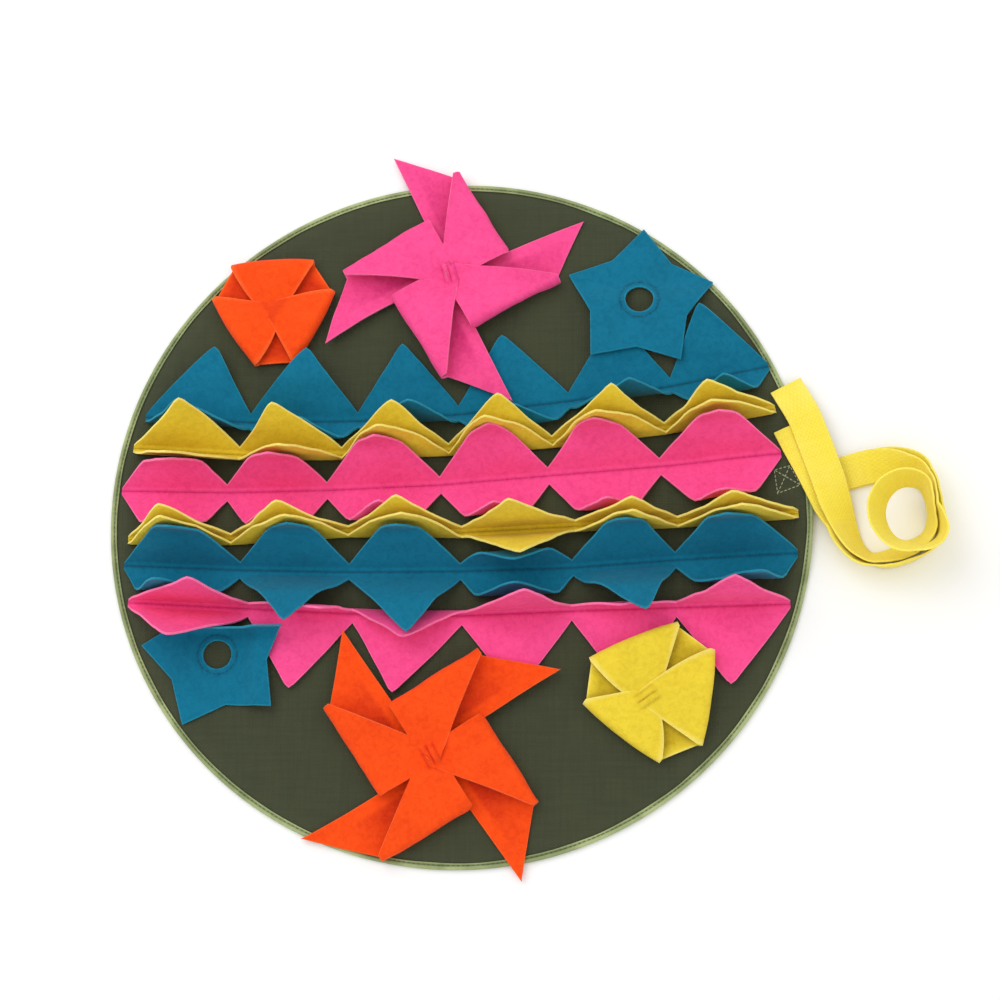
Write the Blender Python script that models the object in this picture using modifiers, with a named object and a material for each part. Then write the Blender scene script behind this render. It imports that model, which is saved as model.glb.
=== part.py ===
"""A round snuffle mat: a bound canvas disc with felt ruffles, pinwheels, pockets and stars, and two straps.

Lengths in the tables are millimetres, and MM turns them into Blender's metres. The origin is the middle of the
disc's underside, +Z is up, and the felt ruffles run along X. Angles are degrees.
"""

import math
from collections import namedtuple

import bmesh
import bpy
from mathutils import Vector

MM = 0.001
GAP = 0.3

# The tables of sewn pieces and straps are measured from this point of the disc.
SEWN_ORIGIN = Vector((1.6, -4.5))

# Base disc and the tape bound round its edge.
BASE_RADIUS = 250.0
BASE_THICK = 3.0
TAPE_WIDTH = 6.0
TAPE_THICK = 0.8
RIM_THICK = 1.1
BASE_RINGS = (80, 140, 172, 192, 210, 227)
RING_STEPS = 60

# Felt.
FELT_THICK = 2.0
FELT_REST = BASE_THICK + 0.4 + FELT_THICK / 2
OVER_FELT = FELT_REST + FELT_THICK + GAP + 3.2

# Ruffles: each flap is half of a diamond, sewn down along the diamond's long axis.
FLAP_REACH = 55.0
NECK_HALF = 6.5
END_HALF = 2.5
SEAM_FLAT = 1.0
ROOT_TURN_END = 5.0
TURN_LENGTH = 12.0
COLUMNS_PER_DIAMOND = 4
NEAR_SEAM = (SEAM_FLAT, 3.0, ROOT_TURN_END)
OUTER_STEPS = 4

# Webbing straps, stitched under the edge at the middle of the box stitch.
STRAP_WIDTH = 24.0
STRAP_THICK = 1.6
STRAP_STEP = 6.2
STITCH_BOX = Vector((231.0, 27.0))
EDGE_RISE = 2 * STRAP_THICK + 2 * GAP
RISE_HALF = 20.0
RISE_REACH = 62.0

Finish = namedtuple("Finish", "color roughness")
CANVAS = Finish((0.050, 0.060, 0.035), 0.85)
TAPE = Finish((0.170, 0.200, 0.080), 0.80)
TEAL = Finish((0.004, 0.150, 0.260), 0.95)
PINK = Finish((0.900, 0.070, 0.260), 0.95)
ORANGE = Finish((0.950, 0.090, 0.012), 0.95)
YELLOW = Finish((0.750, 0.520, 0.045), 0.95)
WEBBING = Finish((0.900, 0.720, 0.060), 0.75)

# How a flap stands: the angle it leaves the base at, the angle of its tip, how far out it turns from one to
# the other, and how long it is. 0 lies outwards on the base, 90 stands up, more leans back over its own seam.
# Its twist is how much steeper it stands at its left end than at its middle, and how much flatter at its right.
Flap = namedtuple("Flap", "first last turn reach twist", defaults=(30.0, FLAP_REACH, 0.0))
# A diamond of a ruffle: its left neck on the base, the sideways shift of its two tips, and its two flaps.
Diamond = namedtuple("Diamond", "x y up_shift down_shift up down")

RUFFLES = {
    "felt_row_1": (TEAL, (
        Diamond(-229, 79, 8, -10, Flap(10, 6), Flap(92, 108, 25, 44)),
        Diamond(-152, 74, 2, 0, Flap(27, 2, 32), Flap(6, 116, 14, 40)),
        Diamond(-74, 74, -2, 4, Flap(3, 3), Flap(94, 108, 22, 40)),
        Diamond(-1, 78, -3, 0, Flap(3, 3), Flap(6, 116, 14, 38)),
        Diamond(78, 87, 4, 8, Flap(3, 3), Flap(86, 104, 25, 42)),
        Diamond(151, 97, -4, 0, Flap(12, 20, 30, 55, -8), Flap(12, 112, 15, 40)),
    ), (220, 111)),
    "felt_row_2": (YELLOW, (
        Diamond(-237, 56, 0, -4, Flap(66, 60, 30, 54, 16), Flap(79, 80)),
        Diamond(-159, 50, -8, 0, Flap(67, 60, 30, 55, 7), Flap(90, 86)),
        Diamond(-85, 49, 2, -8, Flap(68, 57), Flap(112, 92)),
        Diamond(-8, 51, 2, -8, Flap(68, 56), Flap(115, 93)),
        Diamond(66, 56, 5, -8, Flap(72, 61), Flap(109, 93)),
        Diamond(146, 65, -8, -8, Flap(79, 71, 30, 53), Flap(101, 90, 30, 53)),
    ), (224, 79)),
    "felt_row_3": (PINK, (
        Diamond(-244, 24, 0, 0, Flap(53, 102, 27), Flap(18, 95, 25)),
        Diamond(-167, 22, 0, 0, Flap(56, 98, 32), Flap(18, 101, 26)),
        Diamond(-95, 23, -2, 0, Flap(45, 92, 38), Flap(17, 102, 25)),
        Diamond(-14, 26, 0, 0, Flap(43, 87, 39), Flap(17, 95, 27)),
        Diamond(63, 32, -4, 0, Flap(45, 92, 38), Flap(16, 92, 29)),
        Diamond(142, 38, 0, 0, Flap(53, 91, 38), Flap(18, 90, 30)),
    ), (227, 45.5)),
    "felt_row_4": (YELLOW, (
        Diamond(-238, -12, -6, -4, Flap(84, 71, 28), Flap(106, 92, 30)),
        Diamond(-163, -13, -2, 4, Flap(86, 71, 28), Flap(106, 90, 26)),
        Diamond(-79, -8, -2, 2, Flap(83, 74, 28), Flap(104, 91, 26)),
        Diamond(2, -9, -4, 2, Flap(89, 78, 28), Flap(68, 60, 24, 53)),
        Diamond(82, -5, 4, 4, Flap(90, 82, 28), Flap(94, 89, 24)),
        Diamond(154, -3, -6, 0, Flap(91, 83, 28), Flap(94, 89, 25)),
    ), (238, 2)),
    "felt_row_5": (TEAL, (
        Diamond(-240, -31, -3, -10, Flap(56, 95, 36, 58), Flap(6, 92, 17)),
        Diamond(-156, -35, 0, -1, Flap(50, 95, 38, 57), Flap(54, 30, 30)),
        Diamond(-78, -37, -2, 4, Flap(50, 95, 38), Flap(42, 16, 30)),
        Diamond(1, -37, 0, 0, Flap(62, 120, 20, 42), Flap(6, 94, 18)),
        Diamond(80, -35, 4, 12, Flap(52, 96, 37), Flap(54, 32, 30)),
        Diamond(152, -30, -7, 10, Flap(55, 95, 36), Flap(20, 88, 18)),
    ), (237, -26)),
    "felt_row_6": (PINK, (
        Diamond(-236, -58, 8, -4, Flap(86, 80), Flap(60, 60)),
        Diamond(-149, -63, 28, -4, Flap(94, 108, 18, 33), Flap(3, 3)),
        Diamond(-75, -67, 0, -8, Flap(130, 150, 20, 34), Flap(2, 2)),
        Diamond(2, -69, 8, -2, Flap(90, 84), Flap(2, 2)),
        Diamond(79, -66, 0, 0, Flap(92, 112, 14, 22), Flap(2, 2)),
        Diamond(152, -64, 0, -4, Flap(86, 76), Flap(3, 3)),
    ), (231, -62)),
}

# A pinwheel: its middle, the direction of its first tip, its half diagonal, and which way its corners fold
# round (1 anticlockwise from each tip, -1 clockwise), how far a fold starts from its blade's middle line at the
# cut and at its outer end, how far each tip is pulled askew along X and Y, and the line past which the pinwheel
# lies on the felt below.
Pinwheel = namedtuple(
    "Pinwheel", "x y first_tip half_diagonal turn fold_in fold_out pulls finish lift_from lift_to")
PINWHEELS = {
    "pinwheel_pink": Pinwheel(
        -8.4, 183, 115, 103, -1, 40.6, 34.0, ((0, 0), (4, -10), (3.5, -4), (4.5, -3)), PINK, 176, 148),
    "pinwheel_orange": Pinwheel(
        -18, -168, 126, 106, 1, 40.0, 37.0, ((-1, 4), (-5, 7), (0, 0), (5, -3)), ORANGE, -166, -136),
}
PINWHEEL_HUB = 8.0
PINWHEEL_CURL = 4.4
PINWHEEL_END = 3.0
PINWHEEL_TIP = 3.5
# How far a folded corner bulges up, at the cut and at its free edge, and how far it laps over the next blade.
BULGE_IN = 1.0
BULGE_OUT = 5.0
LAP = 2.5
CUT_GAP = 0.5
BLADE_COLUMNS = 4

# A pocket: three flaps folded over long sides of a six-sided blank and tacked together near the middle, at
# meet_x and meet_y from it. Its size is a share of the lengths below.
Pocket = namedtuple("Pocket", "x y first_side size meet_x meet_y finish lift_from lift_to")
POCKETS = {
    "pocket_orange": Pocket(-137, 160, 93, 0.95, 0, -3, ORANGE, None, None),
    "pocket_yellow": Pocket(136, -123, 112, 1.03, -4.7, -5.3, YELLOW, -150, -112),
}
POCKET_SIDE_AT = 33.0
POCKET_HALF_SIDE = 32.0
POCKET_CURL = 4.8
POCKET_BOWL = 1.5

# A star with a round hole: its middle, its first tip's direction and the reach of its second tip.
Star = namedtuple("Star", "x y first_tip second_reach")
STARS = {
    "star_teal_upper": Star(128.6, 162, 14, 55),
    "star_teal_lower": Star(-170.5, -95.6, 29, 38),
}
STAR_TIP = 55.0
STAR_NOTCH = 36.5
STAR_HOLE = 10.0
# The lower star turns up past this line, round this radius and by this much.
STAR_CURL_FROM = -82.0
STAR_CURL = 5.0
STAR_CURL_TURN = math.radians(100)

# A station of a strap: its inner edge on the plan, the height of that edge, and how far the width banks up.
Station = namedtuple("Station", "x y z bank")
STRAPS = {
    "strap_upper": (
        Station(216, 15, 2.7, 0),
        Station(246, 16, 2.7, 0),
        Station(272, 20, 2.8, 0),
        Station(290.8, 24.6, 3.1, 8),
        Station(312.2, 26.3, 3.1, 53),
        Station(322.6, 21.6, 3.2, 72),
        Station(327.9, 12.1, 5.5, 82),
        Station(329.8, 3.5, 8, 86),
        Station(332, -5.4, 12, 83),
        Station(331.6, -17.2, 18, 78),
        Station(323.3, -24.7, 26, 72),
        Station(312.1, -23, 25.5, 62),
        Station(303, -19.5, 24, 58),
        Station(297.6, -10, 22, 54),
        Station(296.8, 0.8, 20, 54),
        Station(301.1, 11.4, 18, 60),
        Station(310, 18.5, 15, 70),
        Station(320.7, 18, 12, 78),
        Station(325.6, 10.8, 8.5, 84),
        Station(327.4, 3.5, 5, 86),
        Station(327.3, -3.2, 2.4, 83),
        Station(325.2, -10.1, 1.4, 75),
        Station(319.6, -14.6, 1, 65),
        Station(312.3, -17.3, 1, 56),
        Station(302.7, -22, 1, 58),
        Station(291.1, -25.4, 1, 64),
        Station(285.4, -22.5, 1.2, 58),
        Station(281, -15, 2, 48),
        Station(278, -3, 3.6, 34),
        Station(275, 12, 6.8, 16),
        Station(271, 28, 10.4, 4),
        Station(266, 44, 10.8, 0),
        Station(260, 62, 10.2, 0),
        Station(254, 79, 8.6, 0),
        Station(242, 102, 5.6, 0),
    ),
    "strap_lower": (
        Station(216, 15, 0.8, 0),
        Station(246, 16, 0.8, 0),
        Station(272, 20, 0.8, 0),
        Station(290.8, 24.6, 0.8, 1),
        Station(313, 28.9, 0.8, 45),
        Station(323.9, 24, 1, 70),
        Station(330, 13.3, 1, 80),
        Station(331.9, 3.5, 1, 81),
        Station(333.7, -6.1, 1, 82),
        Station(331.7, -17.3, 1, 81),
        Station(323.9, -26.6, 1, 82),
        Station(311.7, -32.8, 1, 85),
        Station(297.9, -35.6, 1, 83),
        Station(286.2, -31.8, 1, 72),
        Station(279.5, -26, 1, 62),
        Station(275.5, -15, 1.2, 48),
        Station(274.5, -3, 2.2, 32),
        Station(271, 12, 5.2, 10),
        Station(264, 29, 8.5, 1),
        Station(257, 44, 8.6, 0),
        Station(250, 58, 8.2, 0),
        Station(244, 71, 7.2, 0),
    ),
}


def mix(low, high, share):
    """The value a share of the way from low to high."""
    return low + (high - low) * share


def smooth(value, start, end):
    """0 before start and 1 after end, rising smoothly between them; start may be the larger."""
    share = min(1.0, max(0.0, (value - start) / (end - start)))
    return share * share * (3.0 - 2.0 * share)


def edge_rise(x, y):
    """How far the mat is lifted at a table's point by the strap roots that lie under its edge."""
    along = max(0.0, STITCH_BOX.x - RISE_HALF - x)
    across = max(0.0, abs(y - STITCH_BOX.y) - RISE_HALF)
    return EDGE_RISE * (1.0 - smooth(math.hypot(along, across), 0.0, RISE_REACH))


def on_mat(x, y, z):
    """Where a table's point lies on the mat, following the rise of its edge."""
    return Vector((x + SEWN_ORIGIN.x, y + SEWN_ORIGIN.y, z + edge_rise(x, y)))


def make_collection(name):
    """A new collection in the scene."""
    collection = bpy.data.collections.new(name)
    bpy.context.scene.collection.children.link(collection)
    return collection


def make_material(name, finish):
    """A Principled material of one cloth's colour and roughness."""
    material = bpy.data.materials.get(name) or bpy.data.materials.new(name)
    material.use_nodes = True
    shader = material.node_tree.nodes["Principled BSDF"]
    shader.inputs["Base Color"].default_value = (*finish.color, 1.0)
    shader.inputs["Roughness"].default_value = finish.roughness
    shader.inputs["Metallic"].default_value = 0.0
    return material


def add_patch(bm, columns, rows, place):
    """A grid patch of columns by rows cells, each point put where place(i, j) says, in millimetres."""
    made = bmesh.ops.create_grid(bm, x_segments=columns, y_segments=rows, size=1.0)
    for vert in made["verts"]:
        i = round((vert.co.x + 1.0) / 2.0 * columns)
        j = round((vert.co.y + 1.0) / 2.0 * rows)
        vert.co = place(i, j) * MM


def make_sheet(name, bm, finish, thick, collection):
    """An object of a sheet of cloth: the welded surface, thickened evenly to both sides."""
    bmesh.ops.remove_doubles(bm, verts=bm.verts, dist=1e-6)
    bmesh.ops.recalc_face_normals(bm, faces=bm.faces)
    mesh = bpy.data.meshes.new(name)
    bm.to_mesh(mesh)
    bm.free()
    mesh.shade_smooth()
    sheet = bpy.data.objects.new(name, mesh)
    collection.objects.link(sheet)
    sheet.data.materials.append(make_material(name, finish))
    solidify = sheet.modifiers.new("Thickness", "SOLIDIFY")
    solidify.thickness = thick * MM
    solidify.offset = 0.0
    return sheet


def make_turned(name, profile, finish, collection):
    """A ring or disc: a profile of (radius, height) points turned about Z, then lifted with the mat's edge."""
    bm = bmesh.new()
    verts = [bm.verts.new((radius * MM, 0.0, height * MM)) for radius, height in profile]
    edges = [bm.edges.new(pair) for pair in zip(verts, verts[1:])]
    if profile[0][0] > 0.0:
        edges.append(bm.edges.new((verts[-1], verts[0])))
    bmesh.ops.spin(bm, geom=verts + edges, cent=(0, 0, 0), axis=(0, 0, 1), angle=math.tau,
                   steps=RING_STEPS, use_merge=True)
    bmesh.ops.remove_doubles(bm, verts=bm.verts, dist=1e-6)
    bmesh.ops.recalc_face_normals(bm, faces=bm.faces)
    for vert in bm.verts:
        spot = vert.co.xy / MM - SEWN_ORIGIN
        vert.co.z += edge_rise(spot.x, spot.y) * MM
    mesh = bpy.data.meshes.new(name)
    bm.to_mesh(mesh)
    bm.free()
    turned = bpy.data.objects.new(name, mesh)
    collection.objects.link(turned)
    turned.data.materials.append(make_material(name, finish))


def make_base(collection):
    """The canvas disc, pressed thinner at its rim, and the tape that wraps the rim."""
    inner = BASE_RADIUS - TAPE_WIDTH
    rim = BASE_RADIUS - TAPE_THICK - GAP
    low = TAPE_THICK + GAP
    high = low + RIM_THICK
    disc = [(0, 0)]
    disc += [(radius, 0) for radius in (*BASE_RINGS, inner - 1)]
    disc += [(inner + 1, low), (rim, low), (rim, high), (inner + 1, high)]
    disc += [(radius, BASE_THICK) for radius in (inner - 1, *reversed(BASE_RINGS))]
    disc += [(0, BASE_THICK)]
    make_turned("base_cloth", disc, CANVAS, collection)
    top = high + GAP + TAPE_THICK
    inside = rim + GAP
    tape = [
        (inner + 1.6, 0), (BASE_RADIUS - 0.5, 0), (BASE_RADIUS, 0.5), (BASE_RADIUS, top - 0.5),
        (BASE_RADIUS - 0.5, top), (inner + 1.6, top), (inner + 1.6, high + GAP), (inside, high + GAP),
        (inside, TAPE_THICK), (inner + 1.6, TAPE_THICK),
    ]
    make_turned("edge_binding", tape, TAPE, collection)


def flap_angle(flap, distance, within):
    """The angle of a flap at a distance from its seam, a share of the way along it."""
    root = smooth(distance, SEAM_FLAT, ROOT_TURN_END)
    turned = smooth(distance, flap.turn - TURN_LENGTH / 2, flap.turn + TURN_LENGTH / 2)
    twist = flap.twist * (1.0 - 2.0 * within)
    return math.radians(mix(flap.first, flap.last, turned) + twist) * root


def flap_profile(blend, distance, steps=24):
    """How far out and how high a blend of flaps has come at a distance from the seam."""
    out = 0.0
    up = 0.0
    for step in range(steps):
        middle = distance * (step + 0.5) / steps
        angle = sum(share * flap_angle(flap, middle, within) for share, flap, within in blend)
        out += math.cos(angle) * distance / steps
        up += math.sin(angle) * distance / steps
    return out, up


class Ruffle:
    """A strip of six diamonds, as a surface of a place along the strip and a step away from its seam."""

    def __init__(self, diamonds, end):
        self.diamonds = diamonds
        self.necks = [Vector((d.x, d.y)) for d in diamonds] + [Vector(end)]
        self.near = len(NEAR_SEAM)
        self.steps = self.near + OUTER_STEPS

    def blend(self, place, side):
        """The flaps that shape a place along the strip, with their shares."""
        index = min(int(place), len(self.diamonds) - 1)
        within = place - index
        pairs = [(1.0, index)]
        if within < 0.25 and index > 0:
            share = smooth(within, -0.25, 0.25)
            pairs = [(share, index), (1.0 - share, index - 1)]
        elif within > 0.75 and index < len(self.diamonds) - 1:
            share = smooth(within, 0.75, 1.25)
            pairs = [(1.0 - share, index), (share, index + 1)]
        return [(share, getattr(self.diamonds[k], side), min(1.0, max(0.0, place - k))) for share, k in pairs]

    def half_height(self, place, side):
        """The cut half height of the strip at a place."""
        index = min(int(place), len(self.diamonds) - 1)
        rise = 1.0 - abs(2.0 * (place - index) - 1.0)
        low = NECK_HALF
        ends = {(0, True): END_HALF, (len(self.diamonds) - 1, False): END_HALF}
        low = ends.get((index, place - index < 0.5), NECK_HALF)
        return mix(low, getattr(self.diamonds[index], side).reach, rise)

    def point(self, place, step):
        """The point a number of steps from the seam, up the mat if positive, at a place along the strip."""
        side = "up" if step > 0 else "down"
        index = min(int(place), len(self.diamonds) - 1)
        start, end = self.necks[index], self.necks[index + 1]
        seam = start.lerp(end, place - index)
        along = (end - start).normalized()
        outwards = Vector((-along.y, along.x)) * (1 if step > 0 else -1)
        half = self.half_height(place, side)
        count = abs(step)
        if count <= self.near:
            distance = (0.0, *NEAR_SEAM)[count] * min(1.0, half / NECK_HALF)
        else:
            near = ROOT_TURN_END * min(1.0, half / NECK_HALF)
            distance = mix(near, half, (count - self.near) / OUTER_STEPS)
        blend = self.blend(place, side)
        out, up = flap_profile(blend, distance)
        shift = getattr(self.diamonds[index], side + "_shift") * distance / FLAP_REACH
        shift *= 1.0 - abs(2.0 * (place - index) - 1.0) ** 2
        spot = seam + outwards * out + along * shift
        return on_mat(spot.x, spot.y, FELT_REST + up)


def make_ruffles(collection):
    """The six felt strips."""
    for name, (finish, diamonds, end) in RUFFLES.items():
        ruffle = Ruffle(diamonds, end)
        columns = COLUMNS_PER_DIAMOND * len(diamonds)
        bm = bmesh.new()
        add_patch(bm, columns, 2 * ruffle.steps,
                  lambda i, j: ruffle.point(i / COLUMNS_PER_DIAMOND, j - ruffle.steps))
        make_sheet(name, bm, finish, FELT_THICK, collection)


def make_pinwheels(collection):
    """Two squares cut in from the corners, with every other corner folded to the middle."""
    for name, wheel in PINWHEELS.items():
        size = wheel.half_diagonal
        flat = [("flat", share) for share in (0.0, 0.5)]
        arc = [("arc", step / 5) for step in range(6)]
        back = [("back", step / 3) for step in range(1, 4)]
        rows = [("hub", 0.0), *flat, *arc, *back]
        columns = [0.0, PINWHEEL_HUB / size]
        columns += [mix(columns[1], 1.0, step / BLADE_COLUMNS) for step in range(1, BLADE_COLUMNS + 1)]

        def folded(share, row):
            """Where a column's row lands, along the blade and away from its middle line, and its height."""
            fold = mix(wheel.fold_in, wheel.fold_out, share)
            zone, part = row
            if zone in ("hub", "flat"):
                away = 0.0 if zone == "hub" else mix(PINWHEEL_HUB, fold, part)
                return share * (size - away), away, 0.0
            along = share * (size - fold)
            if zone == "arc":
                turned = math.pi * part
                height = PINWHEEL_CURL * (1.0 - math.cos(turned))
                return along - lap(share, height), fold + PINWHEEL_CURL * math.sin(turned), height
            bulge = mix(BULGE_IN, BULGE_OUT, share * share) * math.sin(math.pi * part)
            height = mix(2 * PINWHEEL_CURL, FELT_THICK + 2 * GAP, part ** 2)
            along = along * (1.0 - part) + PINWHEEL_TIP * share * part
            return along - lap(share, height), mix(fold, PINWHEEL_END, part), height + bulge

        def lap(share, height):
            """How far a folded corner lies over the next blade."""
            return LAP * (1.0 - share) ** 2 * smooth(height, 3.4, 7.5)

        def pulled(blade, column, reach):
            """How far a point is pulled askew, between the pulls of the two tips that it lies between."""
            along = max(0.0, column)
            across = max(0.0, reach)
            share = across / max(along + across, 1e-6)
            own = Vector(wheel.pulls[blade]) * (max(0.0, along - PINWHEEL_HUB) / size) ** 2
            other = Vector(wheel.pulls[(blade + wheel.turn) % 4]) * (max(0.0, across - PINWHEEL_HUB) / size) ** 2
            return own.lerp(other, share)

        def place(blade, i, j):
            """The point of a blade's grid."""
            tip = math.radians(wheel.first_tip + 90 * blade)
            side = tip + wheel.turn * math.pi / 2
            column, reach, height = folded(columns[i], rows[j])
            pull = pulled(blade, column, reach)
            if i == 0 and j > 1:
                column += CUT_GAP
            if j == 0 and i > 1:
                reach = CUT_GAP
            spot = Vector((wheel.x, wheel.y)) + pull
            spot += column * Vector((math.cos(tip), math.sin(tip)))
            spot += reach * Vector((math.cos(side), math.sin(side)))
            rest = mix(FELT_REST, OVER_FELT, smooth(spot.y, wheel.lift_from, wheel.lift_to))
            return on_mat(spot.x, spot.y, rest + height)

        bm = bmesh.new()
        for blade in range(4):
            add_patch(bm, len(columns) - 1, len(rows) - 1, lambda i, j: place(blade, i, j))
        make_sheet(name, bm, wheel.finish, FELT_THICK, collection)


def make_pockets(collection):
    """Two six-sided pockets: a bowl with three flaps folded over its long sides."""
    corner = math.atan2(POCKET_HALF_SIDE, POCKET_SIDE_AT)
    columns = (-math.pi / 3, -corner, -corner / 2, 0.0, corner / 2, corner, math.pi / 3)
    rows = (0.0, 0.35, 0.7, 1.0)
    rise = math.cos(math.pi / 3 - corner) * math.hypot(POCKET_SIDE_AT, POCKET_HALF_SIDE)
    arc_steps = 4
    back_steps = 3

    for name, pocket in POCKETS.items():
        def settle(side, across, out, height, met=0.0):
            """A point of one third of the pocket, set down on what lies below it."""
            turn = math.radians(pocket.first_side + 120 * side)
            x = pocket.x + pocket.size * (out * math.cos(turn) - across * math.sin(turn)) + met * pocket.meet_x
            y = pocket.y + pocket.size * (out * math.sin(turn) + across * math.cos(turn)) + met * pocket.meet_y
            rest = FELT_REST
            if pocket.lift_from is not None:
                rest = mix(FELT_REST, OVER_FELT, smooth(y, pocket.lift_from, pocket.lift_to))
            return on_mat(x, y, rest + height)

        def bowl(side, i, j):
            """The bottom layer, bowed up at the short sides."""
            angle = columns[i]
            if abs(angle) > corner:
                radius = rise
            else:
                radius = POCKET_SIDE_AT / math.cos(angle)
            lift = POCKET_BOWL * smooth(abs(angle), corner / 2, math.pi / 3) * rows[j] ** 2
            return settle(side, rows[j] * radius * math.sin(angle), rows[j] * radius * math.cos(angle), lift)

        def flap(side, i, j):
            """The flap over a long side: an arc, then back to near the middle."""
            across = POCKET_SIDE_AT * math.tan(columns[i + 1])
            lift = POCKET_BOWL * smooth(abs(columns[i + 1]), corner / 2, math.pi / 3)
            if j <= arc_steps:
                turned = math.pi * j / arc_steps
                out = POCKET_SIDE_AT + POCKET_CURL * math.sin(turned)
                return settle(side, across, out, POCKET_CURL * (1 - math.cos(turned)) + lift)
            share = (j - arc_steps) / back_steps
            narrowed = mix(1.0, 0.08, share)
            out = mix(POCKET_SIDE_AT, 3.0, share)
            height = mix(2 * POCKET_CURL, FELT_THICK + 2 * GAP, share ** 2) + lift * narrowed
            return settle(side, across * narrowed, out, height, share)

        bm = bmesh.new()
        for side in range(3):
            add_patch(bm, len(columns) - 1, len(rows) - 1, lambda i, j: bowl(side, i, j))
            add_patch(bm, len(columns) - 3, arc_steps + back_steps, lambda i, j: flap(side, i, j))
        make_sheet(name, bm, pocket.finish, FELT_THICK, collection)


def star_point(name, x, y):
    """Where a point of a star's flat sheet comes to lie."""
    if name == "star_teal_upper":
        return on_mat(x, y, mix(FELT_REST, OVER_FELT, smooth(y, 178, 158)))
    rest = mix(FELT_REST, OVER_FELT, smooth(x, -154, -140))
    beyond = y - STAR_CURL_FROM
    if beyond <= 0.0:
        return on_mat(x, y, rest)
    turned = min(beyond / STAR_CURL, STAR_CURL_TURN)
    straight = beyond - turned * STAR_CURL
    y = STAR_CURL_FROM + STAR_CURL * math.sin(turned) + straight * math.cos(turned)
    height = STAR_CURL * (1.0 - math.cos(turned)) + straight * math.sin(turned)
    return on_mat(x, y, rest + height)


def make_stars(collection):
    """Two five-pointed stars, each with a round hole."""
    per_point = 6
    around = 5 * per_point
    rings = (0.0, 0.3, 0.65, 1.0)
    for name, star in STARS.items():
        reaches = [star.second_reach if tip == 1 else STAR_TIP for tip in range(5)]

        def place(i, j):
            """The point of the star's grid, from the hole's edge outwards."""
            share = i % per_point / per_point
            notch_share = 1.0 - abs(2.0 * share - 1.0)
            first = i // per_point
            tip_at = (first if share <= 0.5 else first + 1) % 5
            tip_angle = math.radians(star.first_tip + 72 * tip_at)
            notch_angle = math.radians(star.first_tip + 72 * first + 36)
            tip = reaches[tip_at] * Vector((math.cos(tip_angle), math.sin(tip_angle)))
            notch = STAR_NOTCH * Vector((math.cos(notch_angle), math.sin(notch_angle)))
            edge = tip.lerp(notch, notch_share)
            angle = math.radians(star.first_tip) + math.tau * i / around
            hole = STAR_HOLE * Vector((math.cos(angle), math.sin(angle)))
            spot = hole.lerp(edge, rings[j])
            return star_point(name, star.x + spot.x, star.y + spot.y)

        bm = bmesh.new()
        add_patch(bm, around, len(rings) - 1, place)
        make_sheet(name, bm, TEAL, FELT_THICK, collection)


def spline(values, place):
    """A smooth curve through evenly spaced values, at a place from 0 to their count less one."""
    last = len(values) - 1
    index = min(int(place), last - 1)
    t = place - index
    before = values[max(index - 1, 0)]
    start, end = values[index], values[index + 1]
    after = values[min(index + 2, last)]
    return 0.5 * (2 * start + (end - before) * t + (2 * before - 5 * start + 4 * end - after) * t * t
                  + (3 * start - before - 3 * end + after) * t * t * t)


def along_line(values, place):
    """The value at a place from 0 to the count less one, in straight steps between evenly spaced values."""
    index = min(int(place), len(values) - 2)
    return mix(values[index], values[index + 1], place - index)


def make_straps(collection):
    """The two webbing straps, from their roots under the edge round a loose curl to their free ends."""
    for name, stations in STRAPS.items():
        last = len(stations) - 1
        length = sum(math.dist(start[:3], end[:3]) for start, end in zip(stations, stations[1:]))
        steps = round(length / STRAP_STEP)

        def centre(place):
            """The inner edge of the strap on the plan."""
            return Vector((spline([s.x for s in stations], place), spline([s.y for s in stations], place)))

        def point(i, j):
            """A point of the strap: j is 0 at the inner edge and 1 at the outer one."""
            place = last * i / steps
            spot = centre(place)
            ahead = centre(min(place + 0.05, last)) - centre(max(place - 0.05, 0.0))
            outwards = Vector((-ahead.y, ahead.x)).normalized()
            bank = math.radians(along_line([s.bank for s in stations], place))
            out = STRAP_WIDTH * j * math.cos(bank)
            height = STRAP_WIDTH * j * math.sin(bank) + along_line([s.z for s in stations], place)
            spot += SEWN_ORIGIN + outwards * out
            return Vector((spot.x, spot.y, height))

        bm = bmesh.new()
        add_patch(bm, steps, 1, point)
        make_sheet(name, bm, WEBBING, STRAP_THICK, collection)


def main():
    """Clears the scene and builds the mat."""
    for old in list(bpy.data.objects):
        bpy.data.objects.remove(old)
    collection = make_collection("snuffle_mat")
    make_base(collection)
    make_ruffles(collection)
    make_pinwheels(collection)
    make_pockets(collection)
    make_stars(collection)
    make_straps(collection)


main()
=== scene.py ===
"""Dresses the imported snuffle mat: felt, canvas, tape and webbing, with the thread that sews them.

Lengths in the tables are millimetres and angles are degrees; MM turns millimetres into metres. The origin is
the middle of the mat's underside, +Z is up, and the ruffles run along X. The tables of sewn pieces and straps
are measured from SEWN_ORIGIN on the disc.
"""

import logging
import math
from collections.abc import Callable, Iterator, Sequence
from dataclasses import InitVar, dataclass, field
from enum import Enum
from functools import cache

import bmesh
import bpy
from mathutils import Matrix, Vector, noise


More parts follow.
